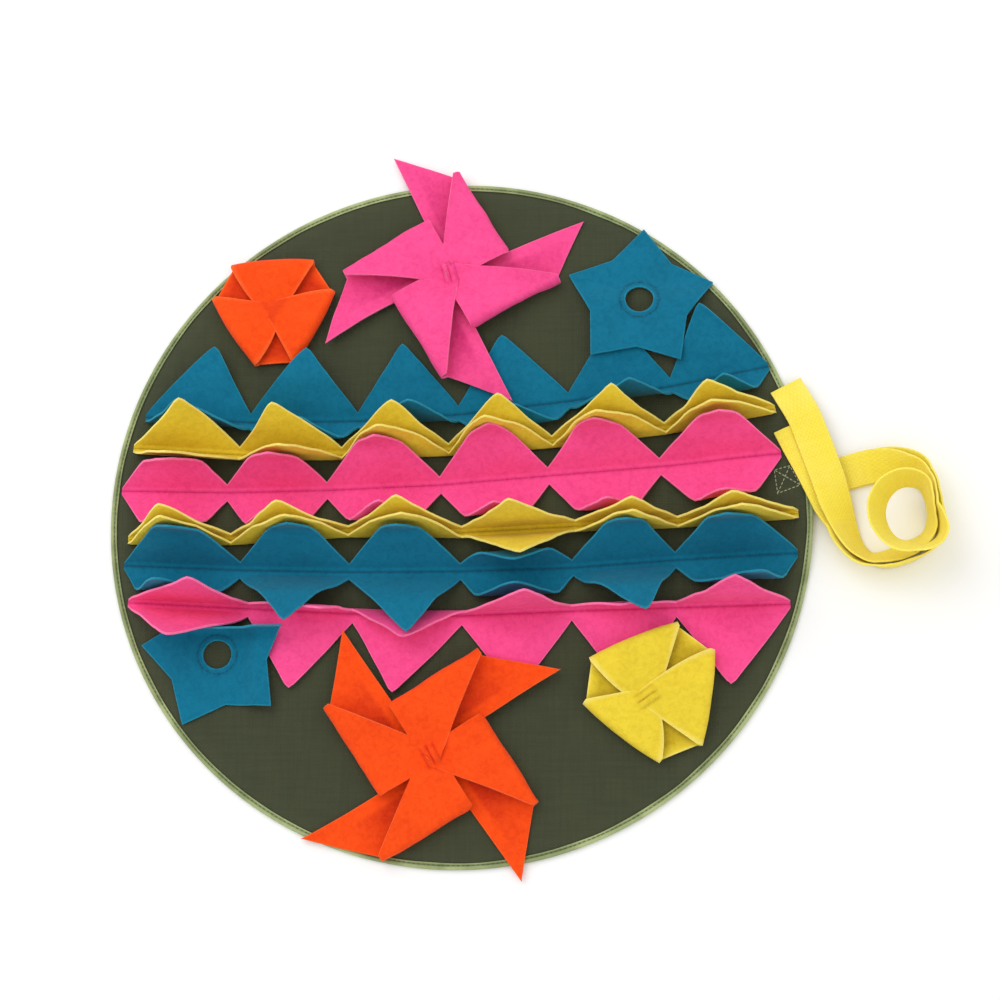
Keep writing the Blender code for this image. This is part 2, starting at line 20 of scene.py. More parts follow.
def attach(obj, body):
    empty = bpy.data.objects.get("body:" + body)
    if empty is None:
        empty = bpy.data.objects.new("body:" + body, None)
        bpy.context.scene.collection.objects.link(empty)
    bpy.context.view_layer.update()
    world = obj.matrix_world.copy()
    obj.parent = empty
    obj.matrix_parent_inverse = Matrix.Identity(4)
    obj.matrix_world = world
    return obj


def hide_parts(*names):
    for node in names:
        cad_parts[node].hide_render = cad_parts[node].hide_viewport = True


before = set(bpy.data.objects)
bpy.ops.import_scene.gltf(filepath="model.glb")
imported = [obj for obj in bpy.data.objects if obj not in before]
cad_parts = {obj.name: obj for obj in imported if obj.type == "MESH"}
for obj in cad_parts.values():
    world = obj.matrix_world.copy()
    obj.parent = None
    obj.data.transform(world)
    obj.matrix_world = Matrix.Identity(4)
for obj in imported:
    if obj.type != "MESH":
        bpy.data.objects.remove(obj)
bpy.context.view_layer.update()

LOG = logging.getLogger("snuffle_mat")

MM = 0.001
GAP = 0.3
WELD = 1e-6
BODY = "root"

SEWN_ORIGIN = Vector((1.6, -4.5))

BASE_RADIUS = 250.0
BASE_THICK = 3.0
TAPE_WIDTH = 6.0
TAPE_THICK = 0.8
RIM_THICK = 1.1
RIM_INNER = BASE_RADIUS - TAPE_WIDTH
RIM_AT = BASE_RADIUS - TAPE_THICK - GAP
RIM_LOW = TAPE_THICK + GAP
RIM_HIGH = RIM_LOW + RIM_THICK

FELT_THICK = 1.6
FELT_REST = 4.4
OVER_FELT = 9.9
FOLDED_ON = FELT_THICK + 0.2 + 2 * GAP
FULL_REACH = 55.0
DIAMOND_LENGTH = 78.5
DIAMOND_SAMPLES = 12

TUCK_HEIGHT = 2.6
TUCK_RIDGE = 2.3
TUCK_RIDGE_WIDTH = 1.3
TUCK_FOOT = 4.6
TUCK_LINE_WIDTH = 0.9

STITCH_BOX = Vector((231.0, 27.0))
EDGE_RISE = 3.8
RISE_HALF = 20.0
RISE_REACH = 62.0

Color = tuple[float, float, float]
Place = Callable[[int, int], "Spot"]


class Side(Enum):
    """Which way a ruffle's flap leaves its seam."""

    UP = 1
    DOWN = -1


class Turn(Enum):
    """Which way a pinwheel's corners are folded round."""

    ANTICLOCKWISE = 1
    CLOCKWISE = -1


class Zone(Enum):
    """The parts of a pinwheel's blade, from its middle line to the end of its folded corner."""

    HUB = 0
    FLAT = 1
    FOLD = 2
    BACK = 3


class Slot(Enum):
    """The record's material slots."""

    CANVAS = "canvas"
    TAPE = "tape"
    TEAL = "felt_teal"
    PINK = "felt_pink"
    ORANGE = "felt_orange"
    YELLOW = "felt_yellow"
    WEBBING = "webbing"


def mix(low: float, high: float, share: float) -> float:
    """The value a share of the way from low to high."""
    return low + (high - low) * share


def smooth(value: float, start: float, end: float) -> float:
    """0 before start and 1 after end, rising smoothly between them; start may be the larger."""
    share = min(1.0, max(0.0, (value - start) / (end - start)))
    return share * share * (3.0 - 2.0 * share)


def spline(values: Sequence[float], place: float) -> float:
    """A smooth curve through evenly spaced values, at a place from 0 to their count less one."""
    last = len(values) - 1
    index = min(int(place), last - 1)
    t = place - index
    before = values[max(index - 1, 0)]
    start, end = values[index], values[index + 1]
    after = values[min(index + 2, last)]
    return 0.5 * (2 * start + (end - before) * t + (2 * before - 5 * start + 4 * end - after) * t * t
                  + (3 * start - before - 3 * end + after) * t * t * t)


def along_line(values: Sequence[float], place: float) -> float:
    """The value at a place from 0 to the count less one, in straight steps between evenly spaced values."""
    index = min(int(place), len(values) - 2)
    return mix(values[index], values[index + 1], place - index)


def direction(angle: float) -> Vector:
    """The flat unit vector at an angle in degrees from +X."""
    return Vector((math.cos(math.radians(angle)), math.sin(math.radians(angle))))


def edge_rise(x: float, y: float) -> float:
    """How far the mat is lifted at a table's point by the strap roots under its edge."""
    along = max(0.0, STITCH_BOX.x - RISE_HALF - x)
    across = max(0.0, abs(y - STITCH_BOX.y) - RISE_HALF)
    return EDGE_RISE * (1.0 - smooth(math.hypot(along, across), 0.0, RISE_REACH))


def on_mat(x: float, y: float, z: float) -> Vector:
    """Where a table's point lies on the mat, following the rise of its edge."""
    return Vector((x + SEWN_ORIGIN.x, y + SEWN_ORIGIN.y, z + edge_rise(x, y)))


def disc_rise(x: float, y: float) -> float:
    """How far the mat is lifted at a point measured from the middle of the disc."""
    return edge_rise(x - SEWN_ORIGIN.x, y - SEWN_ORIGIN.y)


def dye(code: str) -> Color:
    """The linear colour of a dye given as six hexadecimal digits."""
    shares = [int(code[k:k + 2], 16) / 255.0 for k in (0, 2, 4)]
    return tuple(s / 12.92 if s <= 0.04045 else ((s + 0.055) / 1.055) ** 2.4 for s in shares)


class Wiring:
    """Adds nodes to one node tree and joins them.

    Args:
        tree: the node tree of a material or a group.
    """

    def __init__(self, tree: bpy.types.NodeTree) -> None:
        """Keeps the tree."""
        self.tree = tree

    def add(self, kind: str, inputs: dict | None = None, **settings: object) -> bpy.types.Node:
        """A new node.

        Args:
            kind: the node's type.
            inputs: a socket or a value for each named or numbered input.
            **settings: the node's own settings.

        Returns:
            The node.
        """
        node = self.tree.nodes.new(kind)
        for name, value in settings.items():
            setattr(node, name, value)
        for key, value in (inputs or {}).items():
            self.feed(node.inputs[key], value)
        return node

    def feed(self, socket: bpy.types.NodeSocket, value: object) -> None:
        """Joins a socket to another, or sets its value."""
        if isinstance(value, bpy.types.NodeSocket):
            self.tree.links.new(value, socket)
        elif socket.type == "RGBA" and len(value) == 3:
            socket.default_value = (*value, 1.0)
        else:
            socket.default_value = value

    def use(self, tree: bpy.types.NodeTree, **inputs: object) -> bpy.types.NodeOutputs:
        """The outputs of a node group, with a socket or a value for each of its inputs."""
        return self.add("ShaderNodeGroup", inputs, node_tree=tree).outputs

    def mark(self, name: str) -> bpy.types.NodeSocket:
        """The value of one of the piece's own attributes."""
        return self.add("ShaderNodeAttribute", attribute_name=name).outputs["Fac"]

    def math(self, operation: str, *values: object, clamp: bool = False) -> bpy.types.NodeSocket:
        """The result of a sum on numbers."""
        node = self.add("ShaderNodeMath", dict(enumerate(values)), operation=operation, use_clamp=clamp)
        return node.outputs[0]

    def scale(self, value: object, low: float, high: float, to_low: float,
              to_high: float) -> bpy.types.NodeSocket:
        """A value carried from one range to another and held inside it."""
        inputs = {0: value, 1: low, 2: high, 3: to_low, 4: to_high}
        return self.add("ShaderNodeMapRange", inputs, clamp=True).outputs[0]

    def blend(self, share: object, first: object, second: object) -> bpy.types.NodeSocket:
        """A colour a share of the way from the first to the second."""
        node = self.add("ShaderNodeMix", {0: share, 6: first, 7: second}, data_type="RGBA")
        return node.outputs[2]

    def turn(self, vector: object, scale: Sequence[float], rotation: Sequence[float] = (0, 0, 0)) -> object:
        """A vector scaled along its axes and turned, with the rotation in degrees."""
        angles = [math.radians(a) for a in rotation]
        return self.add("ShaderNodeMapping", {"Vector": vector, "Scale": scale, "Rotation": angles}).outputs[0]

    def noise(self, vector: object, scale: float, detail: float = 2.0, rough: float = 0.5,
              twist: float = 0.0) -> bpy.types.NodeSocket:
        """Soft random values from 0 to 1."""
        inputs = {"Vector": vector, "Scale": scale, "Detail": detail, "Roughness": rough, "Distortion": twist}
        return self.add("ShaderNodeTexNoise", inputs).outputs[0]


def make_group(name: str, inputs: dict, outputs: dict) -> tuple[Wiring, dict, bpy.types.Node]:
    """An empty shader node group.

    Args:
        name: the group's name.
        inputs: the kind of each input socket by name.
        outputs: the kind of each output socket by name.

    Returns:
        The group's wiring, its input sockets by name and its output node.
    """
    tree = bpy.data.node_groups.new(name, "ShaderNodeTree")
    for socket, kind in inputs.items():
        tree.interface.new_socket(socket, in_out="INPUT", socket_type=kind)
    for socket, kind in outputs.items():
        tree.interface.new_socket(socket, in_out="OUTPUT", socket_type=kind)
    wiring = Wiring(tree)
    entry = wiring.add("NodeGroupInput")
    return wiring, {socket: entry.outputs[socket] for socket in inputs}, wiring.add("NodeGroupOutput")


FLOAT = "NodeSocketFloat"
VECTOR = "NodeSocketVector"
COLOR = "NodeSocketColor"


@cache
def felt_group() -> bpy.types.NodeTree:
    """Needled fibres: relief, mottled tone, pale fibre tips, a painted highlight on cut edges and painted shade
    in creases and hollows.
    """
    inputs = {"Vector": VECTOR, "Tone": COLOR, "Shade": COLOR, "Bloom": COLOR, "Rim": FLOAT, "Crease": FLOAT}
    w, given, out = make_group("felt_fibres", inputs, {"Color": COLOR, "Roughness": FLOAT, "Height": FLOAT})
    where = given["Vector"]
    strands = w.noise(w.turn(where, (420, 2300, 420), (20, 35, 30)), 1.0, 2.0, 0.6, 0.9)
    crossing = w.noise(w.turn(where, (2300, 420, 420), (35, -20, 65)), 1.0, 2.0, 0.6, 0.9)
    fibres = w.math("MAXIMUM", strands, crossing)
    clumps = w.noise(where, 240.0, 4.0, 0.6, 0.7)
    mottle = w.noise(where, 38.0, 3.0, 0.55)
    relief = w.math("MULTIPLY_ADD", fibres, 0.55, w.math("MULTIPLY", clumps, 0.45))
    # Darker tone: random mottling of the dye, plus painted shade where the piece marks a crease or hollow.
    mottle_and_shade = w.math("ADD", w.scale(clumps, 0.42, 0.68, 0.0, 0.28), w.scale(mottle, 0.40, 0.66, 0.0, 0.15))
    mottle_and_shade = w.math("ADD", mottle_and_shade, w.math("MULTIPLY", given["Crease"], 0.75), clamp=True)
    # Pale fibre tips all over, plus a painted highlight along cut edges where the rim mark is set.
    pale = w.math("MULTIPLY", given["Rim"], w.scale(fibres, 0.40, 0.68, 0.20, 0.70))
    pale = w.math("ADD", pale, w.scale(fibres, 0.62, 0.80, 0.0, 0.22), clamp=True)
    tone = w.blend(mottle_and_shade, given["Tone"], given["Shade"])
    w.feed(out.inputs["Color"], w.blend(pale, tone, given["Bloom"]))
    w.feed(out.inputs["Roughness"], w.scale(clumps, 0.3, 0.7, 0.86, 1.0))
    w.feed(out.inputs["Height"], relief)
    return w.tree


@cache
def weave_group() -> bpy.types.NodeTree:
    """Crossing threads: relief, and a mask that is 1 where a lengthwise thread lies on top."""
    inputs = {"Vector": VECTOR, "Warp": FLOAT, "Weft": FLOAT, "Wander": FLOAT}
    w, given, out = make_group("woven_threads", inputs, {"Height": FLOAT, "Over": FLOAT, "Slub": FLOAT})
    parts = w.add("ShaderNodeSeparateXYZ", {0: given["Vector"]}).outputs
    stray = w.math("SUBTRACT", w.noise(given["Vector"], 120.0, 2.0), 0.5)
    stray = w.math("MULTIPLY", stray, given["Wander"])
    lanes = [w.math("DIVIDE", w.math("ADD", parts[axis], stray), given[name])
             for axis, name in ((0, "Warp"), (1, "Weft"))]
    cells = w.math("ADD", *(w.math("FLOOR", lane) for lane in lanes))
    over = w.math("FLOORED_MODULO", cells, 2.0)
    humps = [w.math("SINE", w.math("MULTIPLY", w.math("FRACT", lane), math.pi)) for lane in lanes]
    round_warp = w.math("MULTIPLY", w.math("POWER", humps[0], 0.6), w.scale(humps[1], 0.0, 1.0, 0.45, 1.0))
    round_weft = w.math("MULTIPLY", w.math("POWER", humps[1], 0.6), w.scale(humps[0], 0.0, 1.0, 0.45, 1.0))
    first = w.math("MULTIPLY", over, round_warp)
    second = w.math("MULTIPLY", w.math("SUBTRACT", 1.0, over), round_weft)
    slub = w.math("MULTIPLY", w.noise(w.turn(given["Vector"], (420, 24, 24)), 1.0, 2.0),
                  w.noise(w.turn(given["Vector"], (24, 420, 24)), 1.0, 2.0))
    w.feed(out.inputs["Height"], w.math("ADD", first, second))
    w.feed(out.inputs["Over"], over)
    w.feed(out.inputs["Slub"], w.scale(slub, 0.16, 0.36, 0.0, 1.0))
    return w.tree


@cache
def wear_and_highlight_group() -> bpy.types.NodeTree:
    """Handling, and on the tape a painted highlight: a tone that fades towards another in patches, more on the
    parts that stand proud.
    """
    inputs = {"Vector": VECTOR, "Color": COLOR, "Faded": COLOR, "Proud": FLOAT, "Amount": FLOAT}
    w, given, out = make_group("handling_wear_and_highlight", inputs, {"Color": COLOR, "Roughness": FLOAT})
    patches = w.scale(w.noise(given["Vector"], 26.0, 5.0, 0.6, 0.4), 0.42, 0.70, 0.0, 1.0)
    share = w.math("MULTIPLY", w.math("ADD", patches, w.math("MULTIPLY", given["Proud"], 0.6)), given["Amount"])
    share = w.math("MINIMUM", share, 1.0)
    w.feed(out.inputs["Color"], w.blend(share, given["Color"], given["Faded"]))
    w.feed(out.inputs["Roughness"], w.scale(patches, 0.0, 1.0, 0.72, 0.92))
    return w.tree


@dataclass(frozen=True)
class Finish:
    """One cloth or thread's look: a base for the others.

    Attributes:
        name: the material's name.
        slot: the record's slot that it belongs to; not used.
        tone: its dye.
        relief: the depth of its bump, in millimetres.
        sheen: how much its fuzz catches the light.
    """

    name: str
    slot: Slot
    tone: str
    relief: float = 0.3
    sheen: float = 0.07

    @cache
    def material(self) -> bpy.types.Material:
        """The finish's material, built the first time it is asked for."""
        material = bpy.data.materials.new(self.name)
        material.use_nodes = True
        material.node_tree.nodes.clear()
        wiring = Wiring(material.node_tree)
        shader = wiring.add("ShaderNodeBsdfPrincipled")
        shader.inputs["Sheen Weight"].default_value = self.sheen
        shader.inputs["Sheen Roughness"].default_value = 0.45
        shader.inputs["Specular IOR Level"].default_value = 0.25
        color, roughness, height = self.dress(wiring)
        wiring.feed(shader.inputs["Base Color"], color)
        wiring.feed(shader.inputs["Roughness"], roughness)
        bump = wiring.add("ShaderNodeBump", {"Height": height, "Distance": self.relief * MM, "Strength": 1.0})
        wiring.feed(shader.inputs["Normal"], bump.outputs[0])
        wiring.add("ShaderNodeOutputMaterial", {"Surface": shader.outputs[0]})
        return material

    def dress(self, w: Wiring) -> tuple[object, object, object]:
        """The sockets of the colour, the roughness and the relief."""
        raise NotImplementedError


@dataclass(frozen=True)
class FeltFinish(Finish):
    """Needled felt in one dye, mottled, with painted shade in its creases and hollows, and pale fibres with a
    painted highlight on its cut edges.
    """

    shade: str = "000000"
    fuzz_and_highlight: str = "FFFFFF"

    def dress(self, w: Wiring) -> tuple[object, object, object]:
        """Fibres on Object coordinates, with the piece's own attributes that mark its cut edges, for the
        painted edge highlight, and its painted shade.
        """
        made = w.use(felt_group(), Vector=w.add("ShaderNodeTexCoord").outputs["Object"], Tone=dye(self.tone),
                     Shade=dye(self.shade), Bloom=dye(self.fuzz_and_highlight), Rim=w.mark("rim"), Crease=w.mark("crease_shade"))
        return made["Color"], made["Roughness"], made["Height"]


@dataclass(frozen=True)
class WovenFinish(Finish):
    """Woven cloth or webbing.

    Attributes:
        cross: the dye of the crosswise threads.
        faded_and_lit: the dye where it is rubbed pale by handling, which on the tape is also a painted
            highlight.
        warp: the pitch of the lengthwise threads, in millimetres.
        weft: the pitch of the crosswise threads, in millimetres.
        on_cloth: True where the weave follows the piece's own UV map.
        wear_and_lit: how much it is rubbed pale, and on the tape how strong its painted highlight is.
    """

    cross: str = "000000"
    faded_and_lit: str = "FFFFFF"
    warp: float = 1.0
    weft: float = 1.0
    on_cloth: bool = False
    wear_and_lit: float = 0.3

    def dress(self, w: Wiring) -> tuple[object, object, object]:
        """Threads that cross, slubs along both, and rubbed patches, which on the tape also paint a highlight on
        its rolls.
        """
        coordinates = w.add("ShaderNodeTexCoord").outputs["Object"]
        where = w.add("ShaderNodeUVMap", uv_map="cloth").outputs[0] if self.on_cloth else coordinates
        weave = w.use(weave_group(), Vector=where, Warp=self.warp * MM, Weft=self.weft * MM, Wander=0.5 * MM)
        share = w.math("MULTIPLY_ADD", weave["Over"], 0.45, w.math("MULTIPLY", weave["Slub"], 0.4))
        threads = w.blend(share, dye(self.tone), dye(self.cross))
        proud = w.math("MAXIMUM", w.mark("rim"), w.scale(weave["Height"], 0.7, 1.0, 0.0, 0.35))
        worn_and_lit = w.use(wear_and_highlight_group(), Vector=coordinates, Color=threads, Faded=dye(self.faded_and_lit), Proud=proud,
                     Amount=self.wear_and_lit)
        height = w.math("MULTIPLY_ADD", weave["Slub"], 0.35, weave["Height"])
        return worn_and_lit["Color"], worn_and_lit["Roughness"], height


@dataclass(frozen=True)
class ThreadFinish(Finish):
    """Sewing thread: a fine twist with a little lint."""

    lint: str = "FFFFFF"

    def dress(self, w: Wiring) -> tuple[object, object, object]:
        """Twisted plies on Object coordinates."""
        where = w.add("ShaderNodeTexCoord").outputs["Object"]
        plies = w.noise(w.turn(where, (900, 2600, 900), (0, 0, 40)), 1.0, 2.0)
        lint = w.scale(w.noise(where, 700.0, 3.0), 0.55, 0.75, 0.0, 0.6)
        color = w.blend(lint, dye(self.tone), dye(self.lint))
        return color, w.scale(plies, 0.3, 0.7, 0.55, 0.8), plies


# Each felt's shade colour serves its darker mottling and the painted shade in creases; its last colour serves
# pale fibre tips and the painted highlight on cut edges.
TEAL = FeltFinish("teal_felt", Slot.TEAL, "006F8E", shade="00506A", fuzz_and_highlight="2D9AB4")
PINK = FeltFinish("pink_felt", Slot.PINK, "F84F92", shade="D12A70", fuzz_and_highlight="FF8FBB")
ORANGE = FeltFinish("orange_felt", Slot.ORANGE, "FA4E08", shade="CC2A04", fuzz_and_highlight="FF7C3E")
YELLOW = FeltFinish("yellow_felt", Slot.YELLOW, "EBD036", shade="BFA018", fuzz_and_highlight="FBF098")
CANVAS = WovenFinish("olive_canvas", Slot.CANVAS, "383C28", 0.25, 0.05, cross="424731", faded_and_lit="51563D",
                     warp=1.15, weft=1.15, wear_and_lit=0.25)
# On the tape the pale second dye covers all but the stitch groove: a painted highlight on its rolled edges,
# leaving painted shade in the groove.
TAPE = WovenFinish("olive_tape", Slot.TAPE, "5C6840", 0.2, 0.05, cross="6E7B4C", faded_and_lit="B0BC86", warp=0.9,
                   weft=0.9, on_cloth=True, wear_and_lit=0.8)
WEBBING = WovenFinish("yellow_webbing", Slot.WEBBING, "FDEA4E", 0.25, 0.1, cross="F6DC40", faded_and_lit="FFF496",
                      warp=1.5, weft=1.3, on_cloth=True, wear_and_lit=0.25)
TEAL_THREAD = ThreadFinish("teal_thread", Slot.TEAL, "064A63", 0.1, 0.1, lint="1F7F9C")
PINK_THREAD = ThreadFinish("pink_thread", Slot.PINK, "C92465", 0.1, 0.1, lint="FF7FB0")
ORANGE_THREAD = ThreadFinish("orange_thread", Slot.ORANGE, "C93208", 0.1, 0.1, lint="FF8A50")
YELLOW_THREAD = ThreadFinish("yellow_thread", Slot.YELLOW, "B58C12", 0.1, 0.1, lint="F6DE6A")
TAPE_THREAD = ThreadFinish("tape_thread", Slot.TAPE, "4E5936", 0.1, 0.05, lint="7C8A58")
PALE_THREAD = ThreadFinish("pale_thread", Slot.TAPE, "A3A988", 0.1, 0.1, lint="C9CDB2")
THREADS = {TEAL: TEAL_THREAD, PINK: PINK_THREAD, ORANGE: ORANGE_THREAD, YELLOW: YELLOW_THREAD}


@dataclass(frozen=True)
class Spot:
    """A point of a cloth.

    Attributes:
        at: where it lies, in millimetres.
        rim: 1 at a cut edge and 0 away from it.
        crease_shade: how much painted shade lies there, 1 on a sewn or folded line or in a hollow and 0 away
            from it.
        loose: how freely the cloth waves there.
        cut: where it lies on the flat cloth, in millimetres.
    """

    at: Vector
    rim: float = 0.0
    crease_shade: float = 0.0
    loose: float = 0.0
    cut: tuple[float, float] = (0.0, 0.0)


@dataclass
class Cloth:
    """One sheet of cloth, built of grid patches that are welded, waved and thickened.

    Attributes:
        name: the piece's name.
        finish: its material.
        thick: its thickness.
        wave: how far its loose parts wave.
        span: the length of a wave.
        rounding: the rounding of its cut edges, or 0 where its cells are too narrow for one.
    """

    name: str
    finish: Finish
    thick: float = FELT_THICK
    wave: float = 0.5
    span: float = 22.0
    rounding: float = 0.5
    bm: bmesh.types.BMesh = field(default_factory=bmesh.new, repr=False)

    def __post_init__(self) -> None:
        """Opens the mesh's attributes."""
        self.marks = {name: self.bm.verts.layers.float.new(name) for name in ("rim", "crease_shade", "loose")}
        self.uv = self.bm.loops.layers.uv.new("cloth")

    def add_patch(self, columns: int, rows: int, place: Place) -> None:
        """Adds a grid patch.

        Args:
            columns: the cells along it.
            rows: the cells across it.
            place: gives the spot of each grid point.
        """
        made = bmesh.ops.create_grid(self.bm, x_segments=columns, y_segments=rows, size=1.0)
        cuts = {}
        for vert in made["verts"]:
            spot = place(round((vert.co.x + 1.0) / 2.0 * columns), round((vert.co.y + 1.0) / 2.0 * rows))
            vert.co = spot.at * MM
            for name, layer in self.marks.items():
                vert[layer] = getattr(spot, name)
            cuts[vert] = spot.cut
        for face in {face for vert in cuts for face in vert.link_faces}:
            for loop in face.loops:
                loop[self.uv].uv = Vector(cuts[loop.vert]) * MM

    def ripple(self) -> None:
        """Waves the loose parts along their normals."""
        self.bm.normal_update()
        start = Vector((float(sum(map(ord, self.name)) % 97), 0.0, 0.0))
        moves = {}
        for vert in self.bm.verts:
            loose = vert[self.marks["loose"]]
            if loose > 0.0:
                height = noise.noise(vert.co / (self.span * MM) + start)
                height += 0.4 * noise.noise(vert.co / (0.4 * self.span * MM) - start)
                moves[vert] = vert.normal * (height * self.wave * loose * MM)
        for vert, move in moves.items():
            vert.co += move

    def make(self) -> bpy.types.Object:
        """The finished sheet, welded, waved, thickened and with its edges rounded."""
        bmesh.ops.remove_doubles(self.bm, verts=self.bm.verts, dist=WELD)
        bmesh.ops.recalc_face_normals(self.bm, faces=self.bm.faces)
        self.ripple()
        sheet = to_object(self.name, self.bm, self.finish)
        solidify = sheet.modifiers.new("Thickness", "SOLIDIFY")
        solidify.thickness = self.thick * MM
        solidify.offset = 0.0
        if self.rounding == 0.0:
            return sheet
        bevel = sheet.modifiers.new("Soft edge", "BEVEL")
        bevel.width = self.rounding * MM
        bevel.segments = 2
        bevel.limit_method = "ANGLE"
        bevel.angle_limit = math.radians(60)
        return sheet


def add_object(name: str, data: bpy.types.ID) -> bpy.types.Object:
    """An object of a mesh, a light or a camera, in the scene."""
    made = bpy.data.objects.new(name, data)
    bpy.context.scene.collection.objects.link(made)
    return made


def add_mesh(name: str, bm: bmesh.types.BMesh, material: bpy.types.Material) -> bpy.types.Object:
    """An object of a mesh, which is freed, with its material."""
    mesh = bpy.data.meshes.new(name)
    bm.to_mesh(mesh)
    bm.free()
    mesh.materials.append(material)
    return add_object(name, mesh)


def to_object(name: str, bm: bmesh.types.BMesh, finish: Finish) -> bpy.types.Object:
    """A smooth-shaded object of a mesh, with its material, riding on the mat.

    Args:
        name: the piece's name.
        bm: the mesh, which is freed.
        finish: the piece's finish.

    Returns:
        The object.
    """
    piece = add_mesh(name, bm, finish.material())
    piece.data.shade_smooth()
    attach(piece, BODY)
    return piece


def walk(path: Sequence[Vector], pitch: float) -> Iterator[tuple[Vector, Vector]]:
    """Even steps along a path.

    Args:
        path: its points, in millimetres.
        pitch: the length of a step.

    Yields:
        The middle of each step and the direction there.
    """
    total = sum((end - start).length for start, end in zip(path, path[1:]))
    count = max(1, round(total / pitch))
    wanted = [total * (k + 0.5) / count for k in range(count)]
    gone = 0.0
    for start, end in zip(path, path[1:]):
        length = (end - start).length
        while wanted and wanted[0] <= gone + length + 1e-9:
            yield start.lerp(end, (wanted.pop(0) - gone) / max(length, 1e-9)), (end - start).normalized()
        gone += length


@dataclass
class Stitching:
    """Runs of thread stitches laid along paths on a cloth.

    Attributes:
        name: the piece's name.
        thread: its finish.
        pitch: from one stitch to the next.
        length: the length of a stitch.
        radius: the half thickness of the thread.
    """

    name: str
    thread: ThreadFinish
    pitch: float = 3.4
    length: float = 2.7
    radius: float = 0.32

    def build(self, paths: Sequence[Sequence[Vector]]) -> bpy.types.Object:
        """Lays the stitches.

        Args:
            paths: each run's points, in millimetres.

        Returns:
            The piece that holds every stitch.
        """
        bm = bmesh.new()
        for path in paths:
            for middle, ahead in walk(path, self.pitch):
                turned = ahead.to_track_quat("X", "Z").to_matrix().to_4x4()
                size = Matrix.Diagonal((self.length / 2 * MM, self.radius * MM, self.radius * MM, 1.0))
                place = Matrix.Translation(middle * MM) @ turned @ size
                bmesh.ops.create_uvsphere(bm, u_segments=6, v_segments=5, radius=1.0, matrix=place)
        bmesh.ops.recalc_face_normals(bm, faces=bm.faces)
        return to_object(self.name, bm, self.thread)


def turn_profile(bm: bmesh.types.BMesh, profile: Sequence[tuple[float, float]], steps: int) -> None:
    """Turns a profile of (radius, height) points about Z, in millimetres, and closes it.

    Args:
        bm: the mesh that it goes into.
        profile: the points, closed on themselves where the first has a radius.
        steps: the steps round.
    """
    verts = [bm.verts.new((radius * MM, 0.0, height * MM)) for radius, height in profile]
    edges = [bm.edges.new(pair) for pair in zip(verts, verts[1:])]
    if profile[0][0] > 0.0:
        edges.append(bm.edges.new((verts[-1], verts[0])))
    bmesh.ops.spin(bm, geom=verts + edges, cent=(0, 0, 0), axis=(0, 0, 1), angle=math.tau, steps=steps,
                   use_merge=True)
    bmesh.ops.remove_doubles(bm, verts=bm.verts, dist=WELD)
    bmesh.ops.recalc_face_normals(bm, faces=bm.faces)


